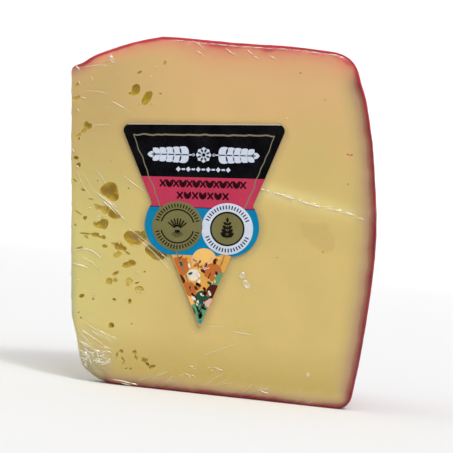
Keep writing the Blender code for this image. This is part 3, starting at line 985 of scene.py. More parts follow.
# %% [markdown]
# ## Clear film
# Polythene film hardly colours what it covers. It shows by its gloss, weak face on and
# stronger along the sides of a fold, and by a slight milkiness where many layers are bunched.
# So it is transparent, mixed with gloss and then with a little white by the stored bunching;
# that white is partly real milkiness and partly a painted glint on folds and welts.
# A Fresnel node would take the film's inner side for the inside of solid glass and hold the
# light in, so the gloss follows Layer Weight's Facing, which is the same from both sides.
# %% Material: film
def film_material(name, milk_and_glint, roughness, fold_shine):
    material, tree, place = start_material(name)
    fine = add(tree, "ShaderNodeTexNoise", {"Vector": place, "Scale": per_mm(0.8), "Detail": 2.0})
    bump = add(tree, "ShaderNodeBump", {"Height": fine, "Strength": 0.1, "Distance": 0.1 * MM})
    clear = add(tree, "ShaderNodeBsdfTransparent", {"Color": (1, 1, 1, 1)})
    gloss = add(tree, "ShaderNodeBsdfGlossy", {"Color": (1, 1, 1, 1), "Roughness": roughness,
                                               "Normal": bump})
    facing = add(tree, "ShaderNodeLayerWeight", {"Blend": 0.5, "Normal": bump}).outputs["Facing"]
    steep = add(tree, "ShaderNodeMath", {0: facing, 1: 2.0}, operation="POWER")
    shine = add(tree, "ShaderNodeMapRange", {"Value": steep, "To Min": 0.018, "To Max": 0.06})
    bunching = add(tree, "ShaderNodeAttribute", attribute_name="bunching").outputs["Fac"]
    shine = add(tree, "ShaderNodeMath", {0: bunching, 1: fold_shine, 2: shine},
                operation="MULTIPLY_ADD")
    skin = add(tree, "ShaderNodeMixShader", {0: shine, 1: clear, 2: gloss})
    # partly painted glint: white haze by the bunching, partly real milkiness
    haze = add(tree, "ShaderNodeBsdfDiffuse", {"Color": linear("#F4EBC8")})
    share = add(tree, "ShaderNodeMapRange", {"Value": bunching, "To Max": milk_and_glint})
    shader = add(tree, "ShaderNodeMixShader", {0: share, 1: skin, 2: haze})
    return finish_material(material, shader)


finish_with(film, film_material("stretched_clear_film", 0.2, 0.1, 0.07))

# %% [markdown]
# ## The label's own ruler
# The label is stuck on a little crooked. Its print is laid out in its own directions: across
# from its middle line and down from its top edge, in millimetres. The directions follow a
# given tilt of five degrees, and the starting point is measured on the imported label, so the
# print can't slip off it.
# %% Where things are on the label
LABEL_TILT = math.radians(5)
LABEL_ACROSS = Vector((math.cos(LABEL_TILT), 0, math.sin(LABEL_TILT)))
LABEL_DOWN = Vector((math.sin(LABEL_TILT), 0, -math.cos(LABEL_TILT)))
label_rows = points_of(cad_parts["label"])
label_sides = label_rows @ np.array(LABEL_ACROSS)
label_depths = label_rows @ np.array(LABEL_DOWN)
LABEL_MIDDLE = (label_sides.min() + label_sides.max()) / 2
LABEL_TOP = label_depths.min()
HALF_TOP = (label_sides.max() - label_sides.min()) / 2 / MM
LABEL_LONG = (label_depths.max() - LABEL_TOP) / MM
PRINT_FACE = label_low.y
print("label, mm:", round(2 * HALF_TOP, 1), "by", round(LABEL_LONG, 1))


LABEL_FAN = 0.9                  # degrees more tilt along the top edge, less further down
FAN_DEPTH = 13.0
STUCK_HIGHER = 0.45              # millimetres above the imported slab


def plain_place(across, down, lift=0.0):
    """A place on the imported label: across and down in millimetres, lifted off the paper."""
    spot = LABEL_ACROSS * (LABEL_MIDDLE + across * MM)
    spot += LABEL_DOWN * (LABEL_TOP + down * MM)
    spot.y = PRINT_FACE - lift * MM
    return spot


def on_label(across, down, lift=0.0):
    """The same on the stuck label, whose top edge was pulled up a little at the right."""
    fan = math.radians(LABEL_FAN) * (1 - down / FAN_DEPTH)
    return plain_place(across, down - STUCK_HIGHER - across * max(fan, -0.012), lift)


def label_place(point):
    """The other way round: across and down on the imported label, in millimetres."""
    across = (point.dot(LABEL_ACROSS) - LABEL_MIDDLE) / MM
    return across, (point.dot(LABEL_DOWN) - LABEL_TOP) / MM


# %% [markdown]
# ## Printing inks on coated paper
# The label is white paper, offset printed in flat inks and varnished to a satin. An ink is
# never quite even: paper fibres show through as a faint mottle, and they leave a very low
# bump. One function makes any ink from its colour.
# %% Material: inks
def ink(name, hex_colour, roughness=0.42):
    material, tree, place = start_material(name)
    fibre = add(tree, "ShaderNodeTexNoise", {"Vector": place, "Scale": per_mm(0.5), "Detail": 3.0})
    cloud = add(tree, "ShaderNodeTexNoise", {"Vector": place, "Scale": per_mm(5), "Detail": 2.0})
    base = linear(hex_colour)
    worn = tuple(min(1.0, value * 1.12 + 0.006) for value in base[:3]) + (1.0,)
    tone = add(tree, "ShaderNodeMath", {0: fibre, 1: cloud}, operation="MULTIPLY")
    share = add(tree, "ShaderNodeMapRange", {"Value": tone, "From Min": 0.12, "From Max": 0.4})
    colour = add(tree, "ShaderNodeMix", {0: share, 6: base, 7: worn}, data_type="RGBA")
    bump = add(tree, "ShaderNodeBump", {"Height": fibre, "Strength": 0.08, "Distance": 0.1 * MM})
    shader = add(tree, "ShaderNodeBsdfPrincipled",
                 {"Base Color": colour, "Roughness": roughness, "IOR": 1.5,
                  "Specular IOR Level": 0.01, "Normal": bump})
    return finish_material(material, shader)


INKS = {
    "black": ink("satin_black_ink", "#040408"),
    "raspberry": ink("raspberry_ink", "#B0344F"),
    "blue": ink("lake_blue_ink", "#06769F"),
    "plum": ink("plum_hairline_ink", "#33204A"),
    "ochre": ink("ochre_ink", "#D29A48"),
    "amber": ink("pale_amber_ink", "#E0B266"),
    "clay": ink("orange_clay_ink", "#B3642E"),
    "umber": ink("dark_umber_ink", "#4A1C12"),
    "sage": ink("sage_green_ink", "#5C8C6A"),
    "pine": ink("pine_green_ink", "#1E4A38"),
    "rose": ink("dusty_rose_ink", "#D4A2A0"),
    "cream": ink("cream_paper", "#D8CFBE", 0.7),
    "white": ink("cool_white_ink", "#BFC7D6"),
    "ring": ink("pale_grey_ink", "#BFC7D5"),
    "maroon": ink("dark_maroon_ink", "#2C0710"),
    "gold": ink("dull_gold_foil", "#767258", 0.3),
    "olive": ink("olive_gold_foil", "#6E6942", 0.36),
    "soot": ink("soot_brown_ink", "#14120C"),
}

# %% [markdown]
# ## The label's paper
# The imported label is a thin slab with the right outline. Its copy is bisected straight across
# where one colour stops and the next starts, so each colour is a set of faces of its own. An
# inset round the front keeps a hair of bare cream paper along the top edge only, a partly
# painted highlight of the paper's edge lit from above. Last, every point goes where the stuck
# label has it: a little wider at the top, and fanned.
# %% Cut the label into its bands
BANDS = ((15.4, "black"), (24.05, "raspberry"), (24.35, "plum"), (38.0, "blue"), (99, "ochre"))
PAPER_EDGE = 0.15                # millimetres of bare paper
WIDTHS = ((0, 1.012), (16, 1.008), (23, 1.002), (27, 0.982), (38, 1.01), (60, 0.985))

label = merged_copy("label", "paper_label")
pick_faces(label, lambda face: face.normal.y < -0.9)
bpy.ops.mesh.dissolve_faces()
bpy.ops.mesh.inset(thickness=PAPER_EDGE * MM)
bpy.ops.mesh.select_all(action="SELECT")
for down, name in BANDS[:-1]:
    bpy.ops.mesh.bisect(plane_co=plain_place(0, down), plane_no=LABEL_DOWN)
    bpy.ops.mesh.select_all(action="SELECT")
close_edit()

# partly painted highlight: the bare cream strip is left along the top edge only, where light from above
# catches the paper's edge
names = [name for down, name in BANDS] + ["cream"]
for name in names:
    label.data.materials.append(INKS[name])
for face in label.data.polygons:
    down = label_place(face.center)[1]
    printed = face.normal.y < -0.9 and down > PAPER_EDGE
    band = next(number for number, (edge, name) in enumerate(BANDS) if down < edge)
    face.material_index = band if printed else len(BANDS)

for vertex in label.data.vertices:
    across, down = label_place(vertex.co)
    wider = float(np.interp(down, *zip(*WIDTHS)))
    vertex.co = on_label(across * wider, down, (PRINT_FACE - vertex.co.y) / MM)
report(label)

# %% [markdown]
# ## Stamps and threads
# Most of the print is small shapes that repeat: leaves, lozenges, dots and bars. Each is
# modelled once, flat, a few hundredths of a millimetre thick, and copied to its places, and
# the copies of one colour are joined. Lines are threads: a curve with a round section, turned
# to mesh and pressed flat.
# %% Helpers for the print
INK_THICK = 0.03                 # millimetres, thicker than real ink so that it shows


def flat_shape(corners, waist):
    """A flat master shape one millimetre long, lying in X and Z, with its back at y = 0."""
    bpy.ops.mesh.primitive_circle_add(vertices=corners, radius=0.5 * MM, fill_type="NGON",
                                      rotation=(math.pi / 2, 0, 0))
    master = bpy.context.object
    bpy.ops.object.transform_apply(location=True, rotation=True, scale=True)
    rows = points_of(master)
    rows[:, 2] *= np.abs(1 - (2 * rows[:, 0] / MM) ** 2) ** waist
    move_points(master, rows)
    bpy.ops.object.mode_set(mode="EDIT")
    bpy.ops.mesh.select_all(action="SELECT")
    bpy.ops.mesh.extrude_region_move(
        TRANSFORM_OT_translate={"value": (0, -INK_THICK * MM, 0)})
    bpy.ops.mesh.select_all(action="SELECT")
    bpy.ops.mesh.normals_make_consistent(inside=False)
    close_edit()
    return master


def flat_bar():
    """The same for a square-ended bar, from a cube."""
    bpy.ops.mesh.primitive_cube_add(size=1.0, location=(0, -INK_THICK * MM / 2, 0),
                                    scale=(MM, INK_THICK * MM, MM))
    master = bpy.context.object
    bpy.ops.object.transform_apply(location=True, rotation=True, scale=True)
    modify(master, "BEVEL", width=0.006 * MM, segments=1)
    return master


def stamp(master, across, down, long, wide, turn=0.0, lift=0.0):
    """A copy of the master on the label, long and wide in millimetres, turned clockwise."""
    copy = new_piece("stamp", master.data.copy())
    angle = math.radians(turn)
    along = LABEL_ACROSS * math.cos(angle) + LABEL_DOWN * math.sin(angle)
    over = LABEL_ACROSS * math.sin(angle) - LABEL_DOWN * math.cos(angle)
    rows = points_of(copy)
    spot = np.array(on_label(across, down, lift))
    flat = rows[:, :1] * long * np.array(along) + rows[:, 2:] * wide * np.array(over)
    flat[:, 1] += rows[:, 1]
    move_points(copy, flat + spot)
    return copy


def thread(route, radius, ends=1.0, pressed=1.0):
    """A mesh tube along the route; ends narrows it there, pressed flattens it."""
    data = bpy.data.curves.new("thread", "CURVE")
    data.dimensions = "3D"
    data.bevel_depth = radius * MM
    data.bevel_resolution = 2
    data.use_fill_caps = True
    spline = data.splines.new("POLY")
    spline.points.add(len(route) - 1)
    for number, place in enumerate(route):
        swell = math.sin(math.pi * number / (len(route) - 1)) ** 0.6
        spline.points[number].co = (*place, 1)
        spline.points[number].radius = ends + (1 - ends) * swell
    tube = bpy.data.objects.new("thread", data)
    bpy.context.scene.collection.objects.link(tube)
    choose(tube)
    bpy.ops.object.convert(target="MESH")
    tube = bpy.context.object
    bpy.ops.object.mode_set(mode="EDIT")
    bpy.ops.mesh.select_all(action="SELECT")
    bpy.ops.mesh.remove_doubles(threshold=0.0005 * MM)
    bpy.ops.mesh.normals_make_consistent(inside=False)
    bpy.ops.transform.resize(value=(1, pressed, 1), center_override=tuple(route[0]))
    close_edit()
    return tube


def join(name, pieces, material, angle=40):
    """Joins pieces of one colour into one named piece and finishes it."""
    choose(*pieces)
    bpy.ops.object.join()
    joined = bpy.context.object
    joined.name = joined.data.name = name
    finish_with(joined, material, angle=angle)
    report(joined)
    return joined


LEAF = flat_shape(20, 0.5)
DOT = flat_shape(16, 0.0)
LOZENGE = flat_shape(4, 0.0)
BAR = flat_bar()

# %% [markdown]
# ## The gold line
# A hand-drawn line in dull gold follows the label's edge, two to three millimetres in, and
# wavers as a pen does. It is three threads: one along the top and one down each side.
# %% Gold line
LINE_DOWN = 3.15                 # below the top edge
LINE_HALF = 20.4
LINE_TIP = 55.0
SIDE_SLANT = HALF_TOP / LABEL_LONG


def wavering(start, end, steps, wave, seed):
    """Places from start to end on the label that waver to either side."""
    start, end = Vector(start), Vector(end)
    side = Vector((start.y - end.y, end.x - start.x)).normalized()
    route = []
    for step in range(steps + 1):
        share = step / steps
        sway = wave * noise.noise(Vector((share * steps / 3.2, seed, 0))) * 2
        across, down = start.lerp(end, share) + side * sway
        route.append(on_label(across, down, 0.015))
    return route


gold_lines = [
    thread(wavering((-LINE_HALF, LINE_DOWN), (LINE_HALF, LINE_DOWN), 60, 0.2, 1), 0.25, 0.8, 0.2),
    thread(wavering((-LINE_HALF, LINE_DOWN), (0, LINE_TIP), 60, 0.24, 2), 0.16, 0.7, 0.2),
    thread(wavering((LINE_HALF, LINE_DOWN), (0, LINE_TIP), 60, 0.24, 3), 0.16, 0.7, 0.2),
]
join("label_gold_line", gold_lines, INKS["gold"], angle=60)

# %% [markdown]
# ## White ornament
# The place of the name holds a plain garland: a stem, pairs of leaves that point outwards and
# a rosette in the middle, with a row of dots and bars under it. Nothing on it can be read.
# %% Garland and dotted row
def garland(middle_down, half_long, pairs):
    stamps = []
    for side in (-1, 1):
        for pair in range(pairs):
            share = (pair + 0.5) / pairs
            across = side * (3.9 + (half_long - 5.4) * share)
            size = 3.5 - 0.9 * share
            for way in (-1, 1):
                lean_out = side * way * (38 + 6 * share)
                stamps.append(stamp(LEAF, across + side * 0.75, middle_down + way * size * 0.34,
                                    size, size * 0.74, lean_out))
        stamps.append(stamp(LEAF, side * (half_long - 0.4), middle_down, 2.4, 1.8))
        stamps.append(stamp(BAR, side * (half_long + 2.4) / 2, middle_down, half_long - 3.0, 0.34))
        stamps.append(stamp(DOT, side * 2.95, middle_down, 0.8, 0.8))
    for petal in range(8):
        turn = petal * 45
        out = Vector((math.cos(math.radians(turn)), math.sin(math.radians(turn)))) * 1.35
        stamps.append(stamp(LEAF, out.x, middle_down + out.y, 1.8, 1.7, turn))
    return stamps


def dotted_row(down, half_long, count):
    stamps = []
    for number in range(count):
        across = half_long * (2 * number / (count - 1) - 1)
        if number % 2:
            stamps.append(stamp(BAR, across, down, 1.0, 0.5))
        else:
            stamps.append(stamp(LOZENGE, across, down, 1.4, 1.5))
    return stamps


join("label_garland", garland(8.9, 15.4, 5) + dotted_row(13.1, 7.2, 11), INKS["white"])

# %% [markdown]
# ## Dark ornament
# The pink band carries two rows of a simple border pattern in dark maroon: lozenges between
# upright leaves, and a shorter row below.
# %% Border rows
def border_row(down, half_long, count, tall):
    stamps = []
    for number in range(count):
        across = half_long * (2 * number / (count - 1) - 1)
        if number % 2:
            stamps.append(stamp(LEAF, across - 0.5, down, tall, 1.15, 72))
            stamps.append(stamp(LEAF, across + 0.5, down, tall, 1.15, 108))
        else:
            for way in (-1, 1):
                stamps.append(stamp(BAR, across - 0.42, down + way * tall * 0.2, 1.25, 0.5,
                                    way * -52))
                stamps.append(stamp(BAR, across + 0.42, down + way * tall * 0.2, 1.25, 0.5,
                                    way * 52))
    return stamps


join("label_border_rows", border_row(17.3, 11.6, 13, 2.5) + border_row(20.7, 6.6, 7, 2.4),
     INKS["maroon"])

# %% [markdown]
# ## Fields in the tip
# The tip holds a small picture: here, a plain patchwork of round fields in warm and green
# inks with leaves and twigs over it. Each field is a disc, cut to the label's outline with a
# Boolean intersection, the way a die cuts every ink at once. Later fields lie a hair higher.
# %% Fields and leaves
FIELDS = (
    # across and down of the disc's middle, its radius, ink
    (0.8, 39.4, 3.6, "amber"), (-6.4, 41.4, 2.9, "clay"), (6.6, 40.8, 3.4, "ochre"),
    (3.4, 42.6, 2.6, "clay"), (-2.2, 43.6, 1.7, "cream"), (6.6, 45.6, 3.0, "sage"),
    (-7.0, 46.0, 2.6, "umber"), (0.8, 46.4, 2.4, "ochre"), (-3.6, 48.0, 2.4, "clay"),
    (3.8, 48.4, 2.2, "umber"), (0.6, 50.2, 2.2, "pine"), (-4.2, 51.8, 2.3, "amber"),
    (3.2, 52.2, 2.0, "rose"), (-0.6, 56.2, 4.4, "sage"), (-3.2, 54.6, 1.9, "pine"),
)


def field(across, down, radius, lift):
    """A disc trimmed to the label's outline, its front lifted off the paper."""
    disc_depth = 0.2
    spot = on_label(across, down, lift - disc_depth / 2)
    bpy.ops.mesh.primitive_cylinder_add(vertices=40, radius=radius * MM, depth=disc_depth * MM,
                                        location=spot, rotation=(math.pi / 2, 0, 0))
    disc = bpy.context.object
    bpy.ops.object.transform_apply(location=True, rotation=True, scale=True)
    outline = new_piece("outline", label.data.copy())
    rows = points_of(outline)
    middle = np.array(on_label(0, 30))
    rows[:, 1] = PRINT_FACE + (rows[:, 1] - PRINT_FACE) * 4 - 0.8 * MM
    rows[:, [0, 2]] = middle[[0, 2]] + (rows[:, [0, 2]] - middle[[0, 2]]) * 0.985
    move_points(outline, rows)
    modify(disc, "BOOLEAN", object=outline, operation="INTERSECT", solver="EXACT")
    bpy.data.objects.remove(outline)
    return disc


picture = {}
for number, (across, down, radius, name) in enumerate(FIELDS):
    trimmed = field(across, down, radius, 0.008 * (number + 1))
    picture.setdefault(name, []).append(trimmed)


def scatter_leaves(dice):
    """Leaves, dots and twigs in other inks over the fields."""
    for number in range(84):
        down = 38.6 + 17.4 * dice.random() ** 1.15
        half = SIDE_SLANT * (LABEL_LONG - down) - 0.9
        across = dice.uniform(-half, half)
        name = dice.choice(("cream", "amber", "umber", "clay", "rose", "pine", "umber"))
        if down > 52:
            name = dice.choice(("pine", "pine", "sage", "umber"))
        long = dice.uniform(0.8, 1.9)
        turn = dice.choice((-70, -35, 35, 70, 90)) + dice.uniform(-14, 14)
        shape = dice.choice((LEAF, LEAF, DOT, BAR, BAR))
        wide = long * (0.5 if shape is LEAF else 0.5 if shape is DOT else 0.14)
        picture.setdefault(name, []).append(stamp(shape, across, down, long, wide, turn, 0.13))
    picture["blue"] = [stamp(DOT, 0.1, 56.9, 0.8, 0.8, 0, 0.15)]


scatter_leaves(random.Random(5))
for name, pieces in picture.items():
    join("label_picture_" + name, pieces, INKS[name])

# %% [markdown]
# ## Two round seals
# A seal is a thin disc with a rolled edge. Its rings are insets of the front face, in their
# own ink, with a ring of milled bars like a coin's edge where a real seal has words. One shows
# a sheaf and the other a sprig, both plain farm signs.
# %% Seals
def seal_disc(name, across, down, radius, rings):
    """A disc whose front face is inset once for each ring: (radius, ink)."""
    bpy.ops.mesh.primitive_cylinder_add(
        vertices=80, radius=radius * MM, depth=0.3 * MM, rotation=(math.pi / 2, 0, 0),
        location=on_label(across, down, -0.03))
    disc = bpy.context.object
    bpy.ops.object.transform_apply(location=True, rotation=True, scale=True)
    front = lambda face: face.normal.y < -0.9
    pick_faces(disc, front)
    bpy.ops.mesh.bevel(offset=0.06 * MM, segments=2, affect="EDGES")
    close_edit()
    size = radius - 0.06
    for inner, ink_name in rings[1:]:
        pick_faces(disc, lambda face: front(face) and len(face.vertices) == 80)
        bpy.ops.mesh.inset(thickness=(size - inner) * MM)
        close_edit()
        size = inner
    disc.data.materials.clear()
    for limit, ink_name in rings:
        disc.data.materials.append(INKS[ink_name])
    middle = on_label(across, down)
    for face in disc.data.polygons:
        if len(face.vertices) == 80 and face.normal.y < 0:
            far = 0.0
        else:
            far = (Vector((face.center.x, 0, face.center.z)) - Vector((middle.x, 0, middle.z))).length
        fitting = [n for n, (limit, ink_name) in enumerate(rings) if far < limit * MM]
        face.material_index = fitting[-1] if fitting else 0
    disc.name = disc.data.name = name
    choose(disc)
    bpy.ops.object.shade_smooth_by_angle(angle=math.radians(35))
    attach(disc, "root")
    report(disc)


def milled_ring(across, down, radius, count, tall, gap):
    """Bars round a ring, left out for gap degrees at either side."""
    stamps = []
    for number in range(count):
        turn = 360 * number / count
        beside = min(abs((turn - side + 180) % 360 - 180) for side in (0, 180))
        if beside < gap:
            continue
        angle = math.radians(turn)
        stamps.append(stamp(BAR, across + radius * math.cos(angle), down + radius * math.sin(angle),
                            tall, 0.34, turn, 0.12))
    return stamps


def sheaf(across, down, size):
    """Ears of corn fanned from a knot."""
    stamps = []
    for ear in range(-3, 4):
        lean_out = ear * 17
        angle = math.radians(lean_out - 90)
        for grain in range(4):
            out = size * (0.35 + 0.17 * grain)
            for way in (-1, 1):
                stamps.append(stamp(LEAF, across + out * math.cos(angle), down + size * 0.3
                                    + out * math.sin(angle), size * 0.2, size * 0.11,
                                    lean_out - 90 + way * 32, 0.12))
        stem = size * 0.42
        stamps.append(stamp(BAR, across - stem * 0.7 * math.cos(angle), down + size * 0.3
                            - stem * 0.7 * math.sin(angle), stem * 1.5, size * 0.05,
                            lean_out - 90, 0.12))
    stamps.append(stamp(BAR, across, down + size * 0.36, size * 0.42, size * 0.12, 0, 0.14))
    return stamps


def sprig(across, down, size):
    """One upright stem with leaves in pairs and one more leaf at its top."""
    stamps = [stamp(BAR, across, down + size * 0.1, size * 1.5, size * 0.06, 90, 0.12)]
    for pair in range(4):
        up = size * (0.45 - 0.32 * pair)
        long = size * (0.42 + 0.09 * pair)
        for way in (-1, 1):
            stamps.append(stamp(LEAF, across + way * long * 0.42, down - up, long, long * 0.55,
                                way * -36, 0.12))
    stamps.append(stamp(LEAF, across, down - size * 0.76, size * 0.44, size * 0.24, 90, 0.12))
    return stamps


def ring_thread(across, down, radius, thick, start=0, end=360):
    """A thin ring or arc; angles are clockwise from the right."""
    route = []
    for step in range(49):
        angle = math.radians(start + (end - start) * step / 48)
        route.append(on_label(across + radius * math.cos(angle), down + radius * math.sin(angle),
                              0.13))
    return thread(route, thick, 1.0, 0.15)


LEFT_SEAL = (-7.1, 29.7, 7.25)
RIGHT_SEAL = (7.3, 30.0, 7.45)
seal_disc("label_seal_left", *LEFT_SEAL, ((7.4, "olive"), (4.6, "olive")))
seal_disc("label_seal_right", *RIGHT_SEAL, ((7.6, "ring"), (5.0, "soot"), (4.5, "olive")))
marks = milled_ring(*LEFT_SEAL[:2], 6.0, 44, 1.1, 16) + milled_ring(*RIGHT_SEAL[:2], 6.25, 46, 1.1, 20)
marks += sheaf(*LEFT_SEAL[:2], 3.6) + sprig(*RIGHT_SEAL[:2], 3.4)
marks += [ring_thread(*LEFT_SEAL[:2], 4.8, 0.2, 15, 165), ring_thread(*LEFT_SEAL[:2], 4.8, 0.2, 195, 345)]
join("label_seal_marks", marks, INKS["soot"])

# %% Finish the paper
choose(label)
bpy.ops.object.shade_smooth_by_angle(angle=math.radians(30))
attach(label, "root")
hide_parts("label")
for master in (LEAF, DOT, LOZENGE, BAR):
    bpy.data.objects.remove(master)

# %% [markdown]
# ## Welts
# Some folds of the film are pinched so tight that they stand up as fine, round-backed welts,
# a few tenths of a millimetre wide. The film's grid is too coarse for them, so each is a
# thread of its own, pressed flat and sunk halfway into the film. They lie along the folds
# above, along the overlap and just under the top edge, and others are thrown, zone by zone.
# %% Welts along the folds, the overlap and the top edge
def settle(line, inwards):
    """The line's places, dropped onto the wedge's skin and lifted to the film."""
    settled = []
    for place in line:
        on_skin = wedge_skin.ray_cast(place - inwards * 10 * MM, inwards)[0]
        if on_skin is None:
            on_skin = wedge_skin.find_nearest(place)[0]
        settled.append(on_skin - inwards * (FILM_LIFT + 0.16 * MM))
    return settled


def welt(line, radius, inwards=Vector((0, 1, 0))):
    return thread(settle(line, inwards), radius, 0.15, 0.8)


def fold_welts(line, count, radius, dice):
    """The first welt runs most of the fold's way, and the others take a stretch of it."""
    welts = []
    for number in range(count):
        share = dice.uniform(0.25, 0.6) if number else dice.uniform(0.75, 1)
        long = max(3, round(share * len(line)))
        first = dice.randint(0, len(line) - long)
        aside = Vector((0, 0, dice.gauss(0, 0.05 + 0.2 * number) * MM))
        stretch = [place + aside for place in line[first:first + long]]
        welts.append(welt(stretch, radius * dice.uniform(0.65, 1.1)))
    return welts


def seam_welts(dice):
    """Dashes on the overlap's edge, thick beside the label and finer towards the rim."""
    line = seam_line()
    welts = []
    first = 1
    while first < len(line) - 6:
        share = first / len(line)
        long = dice.randint(3, 6)
        aside = Vector((0, 0, dice.gauss(0, 0.12) * MM))
        stretch = [place + aside for place in line[first:first + long]]
        welts.append(welt(stretch, (0.42 - 0.3 * share) * dice.uniform(0.45, 1.1)))
        first += dice.randint(2, 3 + round(4 * share))
    return welts


def top_edge_welts(dice):
    """Broken glints just under the top edge, from the label's left side to the shoulder."""
    welts = []
    across = -18.0
    while across < 30:
        long = dice.choice((0.5, 1.0, 1.8, 3.2))
        line = []
        for number in range(5):
            above = Vector(((across + long * number / 4) * MM, FACE + 0.6 * MM, 200 * MM))
            edge = wedge_skin.ray_cast(above, Vector((0, 0, -1)))[0]
            line.append(Vector((above.x, FACE, edge.z - (0.6 + dice.gauss(0, 0.06)) * MM)))
        welts.append(welt(line, dice.uniform(0.08, 0.19)))
        across += long + dice.choice((0.1, 0.3, 0.9))
    return welts


dice = random.Random(37)
pleats = []
for line, count, radius in fold_lines:
    pleats += fold_welts(line, count, radius, dice)
pleats += seam_welts(dice)
pleats += top_edge_welts(dice)
print(len(pleats), "welts along folds and edges")

# %% [markdown]
# ## Thrown welts and caught air
# The same few lines throw welts wherever the film is gathered. On the hidden cut, where the
# film's ends are drawn together, they run up and down. Caught air makes three flat blisters
# and a few specks, which are the eyes' own balls pressed thin.
# %% Thrown welts, blisters and specks
WELT_ZONES = (
    # how many, box, heading, spread, length, radius
    (20, (-37, 5.5, -27, 9.5), 5, 50, (1.0, 3.0), (0.10, 0.28)),
    (9, (-34, 5.5, -27.5, 10), 0, 60, (0.6, 1.5), (0.20, 0.36)),
    (8, (-36.5, 8, -30, 15), -28, 8, (2.0, 5.0), (0.07, 0.15)),
    (4, (-35, 4, -32, 8), -58, 10, (1.5, 3.5), (0.12, 0.22)),
    (14, (-40, 23, -19, 52), -12, 35, (0.5, 1.2), (0.08, 0.15)),
    (5, (-44.5, 58, -39, 90), -40, 30, (0.6, 1.6), (0.10, 0.22)),
    (16, (-22, 1.5, 40, 5.5), 32, 14, (1.5, 5.0), (0.05, 0.09)),
    (9, (-4, 4.5, 7, 8), -8, 28, (0.6, 2.0), (0.08, 0.14)),
    (7, (-12, 97.5, 11, 100.5), -28, 7, (1.2, 6.0), (0.08, 0.13)),
)
BLISTERS = ((9.0, 35.5, 1.9, 2.2, 0), (10.5, 33.0, 1.8, 3.2, -38), (31.0, 9.0, 1.3, 1.3, 0))


def hidden_welts(dice):
    """Long welts on the hidden cut, gathered towards its middle."""
    level = Vector((math.cos(WEDGE_ANGLE), math.sin(WEDGE_ANGLE), 0))
    welts = []
    for number in range(26):
        out = dice.uniform(12, 80) * MM
        up = dice.uniform(8, 92)
        rise = dice.uniform(2, 9)
        line = []
        for step in range(6):
            height = min(max(up + rise * (step / 5 - 0.5), 3), 97) * MM
            aside = out + 0.5 * MM * math.sin(step + number)
            line.append(foot + lean * (height / lean.z) + level * aside)
        welts.append(welt(line, dice.uniform(0.06, 0.16), -cut_normal))
    return welts


for count, box, heading, spread, length, radius in WELT_ZONES:
    for number in range(count):
        line = thrown_line(dice, box, heading, spread, length)
        pleats.append(welt(line, dice.uniform(*radius)))
pleats += hidden_welts(dice)
for number in range(20):
    place = on_cut(dice.uniform(-36, 40), dice.uniform(12, 97), 0.3)
    wide = dice.uniform(0.13, 0.26) * MM
    pleats.append(eye_ball(place, (wide, 0.2 * MM, wide * 0.8), (0, 0, 0), number))
# partly painted glint: welts and specks are fully bunched, so their film turns white
for piece in pleats:
    store(piece, "bunching", np.ones(len(piece.data.vertices)))
for number, (across, up, wide, tall, tilt) in enumerate(BLISTERS):
    place = on_cut(across, up, 0.3)
    size = (wide / 2 * MM, 0.2 * MM, tall / 2 * MM)
    blister = eye_ball(place, size, (0, math.radians(tilt), 0), number)
    store(blister, "bunching", np.full(len(blister.data.vertices), 0.4))
    pleats.append(blister)


def frayed_bits(dice):
    """Short crossed slivers along the overlap, where its edge is torn."""
    line = seam_line()
    bits = []
    for number in range(34):
        at = dice.choice(line[2:-2]) + Vector((dice.gauss(0, 0.5), 0, dice.gauss(-0.1, 0.42))) * MM
        long = dice.uniform(0.3, 1.1) * MM
        angle = math.radians(dice.gauss(-14, 28))
        way = Vector((math.cos(angle), 0, math.sin(angle))) * long / 2
        at.y -= FILM_LIFT + 0.2 * MM
        bits.append(thread([at - way, at, at + way], dice.uniform(0.05, 0.11), 0.15, 0.8))
    return bits


for piece in frayed_bits(random.Random(31)):
    store(piece, "bunching", np.ones(len(piece.data.vertices)))
    pleats.append(piece)
choose(*pleats)
bpy.ops.object.join()
film_pleats = bpy.context.object
film_pleats.name = film_pleats.data.name = "film_pleats"
# partly painted glint: the pinched film's larger white share stands in partly for the welts' glints
finish_with(film_pleats, film_material("pinched_clear_film", 0.36, 0.2, 0.2))
report(film_pleats)

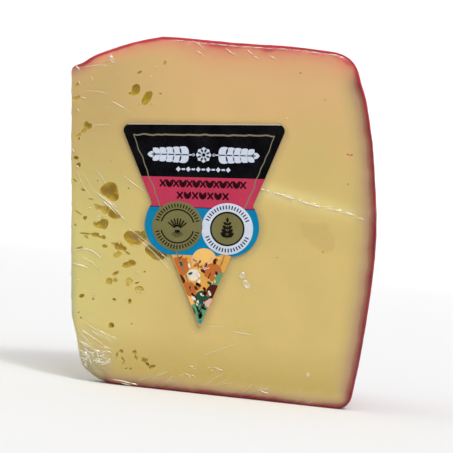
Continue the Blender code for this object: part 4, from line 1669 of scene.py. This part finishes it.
# %% [markdown]
# ## Stage, light and camera
# The wedge stands in a wide white dish whose rim curves up, so there is no horizon from any
# side. Soft light falls from above and a little in front, and a pale sky fills the rest. The
# camera looks square on to the cut, rolled a few degrees, as a hand-held one is.
# %% White dish
def white_dish():
    bpy.ops.mesh.primitive_circle_add(vertices=96, radius=2.0, fill_type="NGON")
    dish = bpy.context.object
    dish.name = dish.data.name = "studio_dish"
    bpy.ops.object.mode_set(mode="EDIT")
    bpy.ops.mesh.select_all(action="SELECT")
    bpy.ops.mesh.select_mode(type="EDGE")
    bpy.ops.mesh.region_to_loop()
    bend = 0.8
    turns = 10
    reach = 2.0
    for step in range(1, turns + 1):
        angle = math.pi / 2 * step / turns
        before = math.pi / 2 * (step - 1) / turns
        wider = 2.0 + bend * math.sin(angle)
        rise = bend * (math.cos(before) - math.cos(angle))
        bpy.ops.mesh.extrude_edges_move(TRANSFORM_OT_translate={"value": (0, 0, rise)})
        bpy.ops.transform.resize(value=(wider / reach, wider / reach, 1),
                                 center_override=(0, 0, 0))
        reach = wider
    bpy.ops.mesh.select_all(action="SELECT")
    bpy.ops.mesh.normals_make_consistent(inside=True)
    close_edit()
    bpy.ops.object.shade_smooth()
    material, tree, place = start_material("matt_white_paper_sweep")
    tone = add(tree, "ShaderNodeTexNoise", {"Vector": place, "Scale": 1.5, "Detail": 1.0})
    white = add(tree, "ShaderNodeMix", {0: tone, 6: linear("#F9F9F9"), 7: linear("#FCFCFC")},
                data_type="RGBA")
    shader = add(tree, "ShaderNodeBsdfPrincipled", {"Base Color": white, "Roughness": 0.9})
    dish.data.materials.append(finish_material(material, shader))


def sun(name, strength, softness, elevation, azimuth):
    """A broad light; azimuth 0 shines from the camera's side, 90 from the right."""
    data = bpy.data.lights.new(name, "SUN")
    data.energy = strength
    data.angle = math.radians(softness)
    light = bpy.data.objects.new(name, data)
    bpy.context.scene.collection.objects.link(light)
    rise, round_by = math.radians(elevation), math.radians(azimuth)
    source = Vector((math.sin(round_by) * math.cos(rise), -math.cos(round_by) * math.cos(rise),
                     math.sin(rise)))
    light.rotation_euler = source.to_track_quat("Z", "Y").to_euler()
    light.location = source


white_dish()
sun("soft_window", 0.79, 34, 46, 14)
sun("lamp", 0.75, 10, 50, 26)
world = bpy.data.worlds.new("pale_room")
world.use_nodes = True
world.node_tree.nodes["Background"].inputs["Color"].default_value = (1, 1, 1, 1)
world.node_tree.nodes["Background"].inputs["Strength"].default_value = 0.6
bpy.context.scene.world = world
bpy.context.scene.view_settings.view_transform = "Standard"

# %% Camera
CAMERA_AWAY = 0.55
VIEW_WIDE = 130.9 * MM           # what the picture's width takes in at the cut face
CAMERA_ROLL = math.radians(6.3)
lens = bpy.data.cameras.new("square_on")
lens.sensor_width = 36
lens.lens = lens.sensor_width * CAMERA_AWAY / VIEW_WIDE
camera = bpy.data.objects.new("square_on", lens)
bpy.context.scene.collection.objects.link(camera)
camera.location = (2.9 * MM, FACE - CAMERA_AWAY, 49.0 * MM)
camera.rotation_euler = (math.pi / 2, -CAMERA_ROLL, 0)
bpy.context.scene.camera = camera
print("lens, mm:", round(lens.lens, 1))
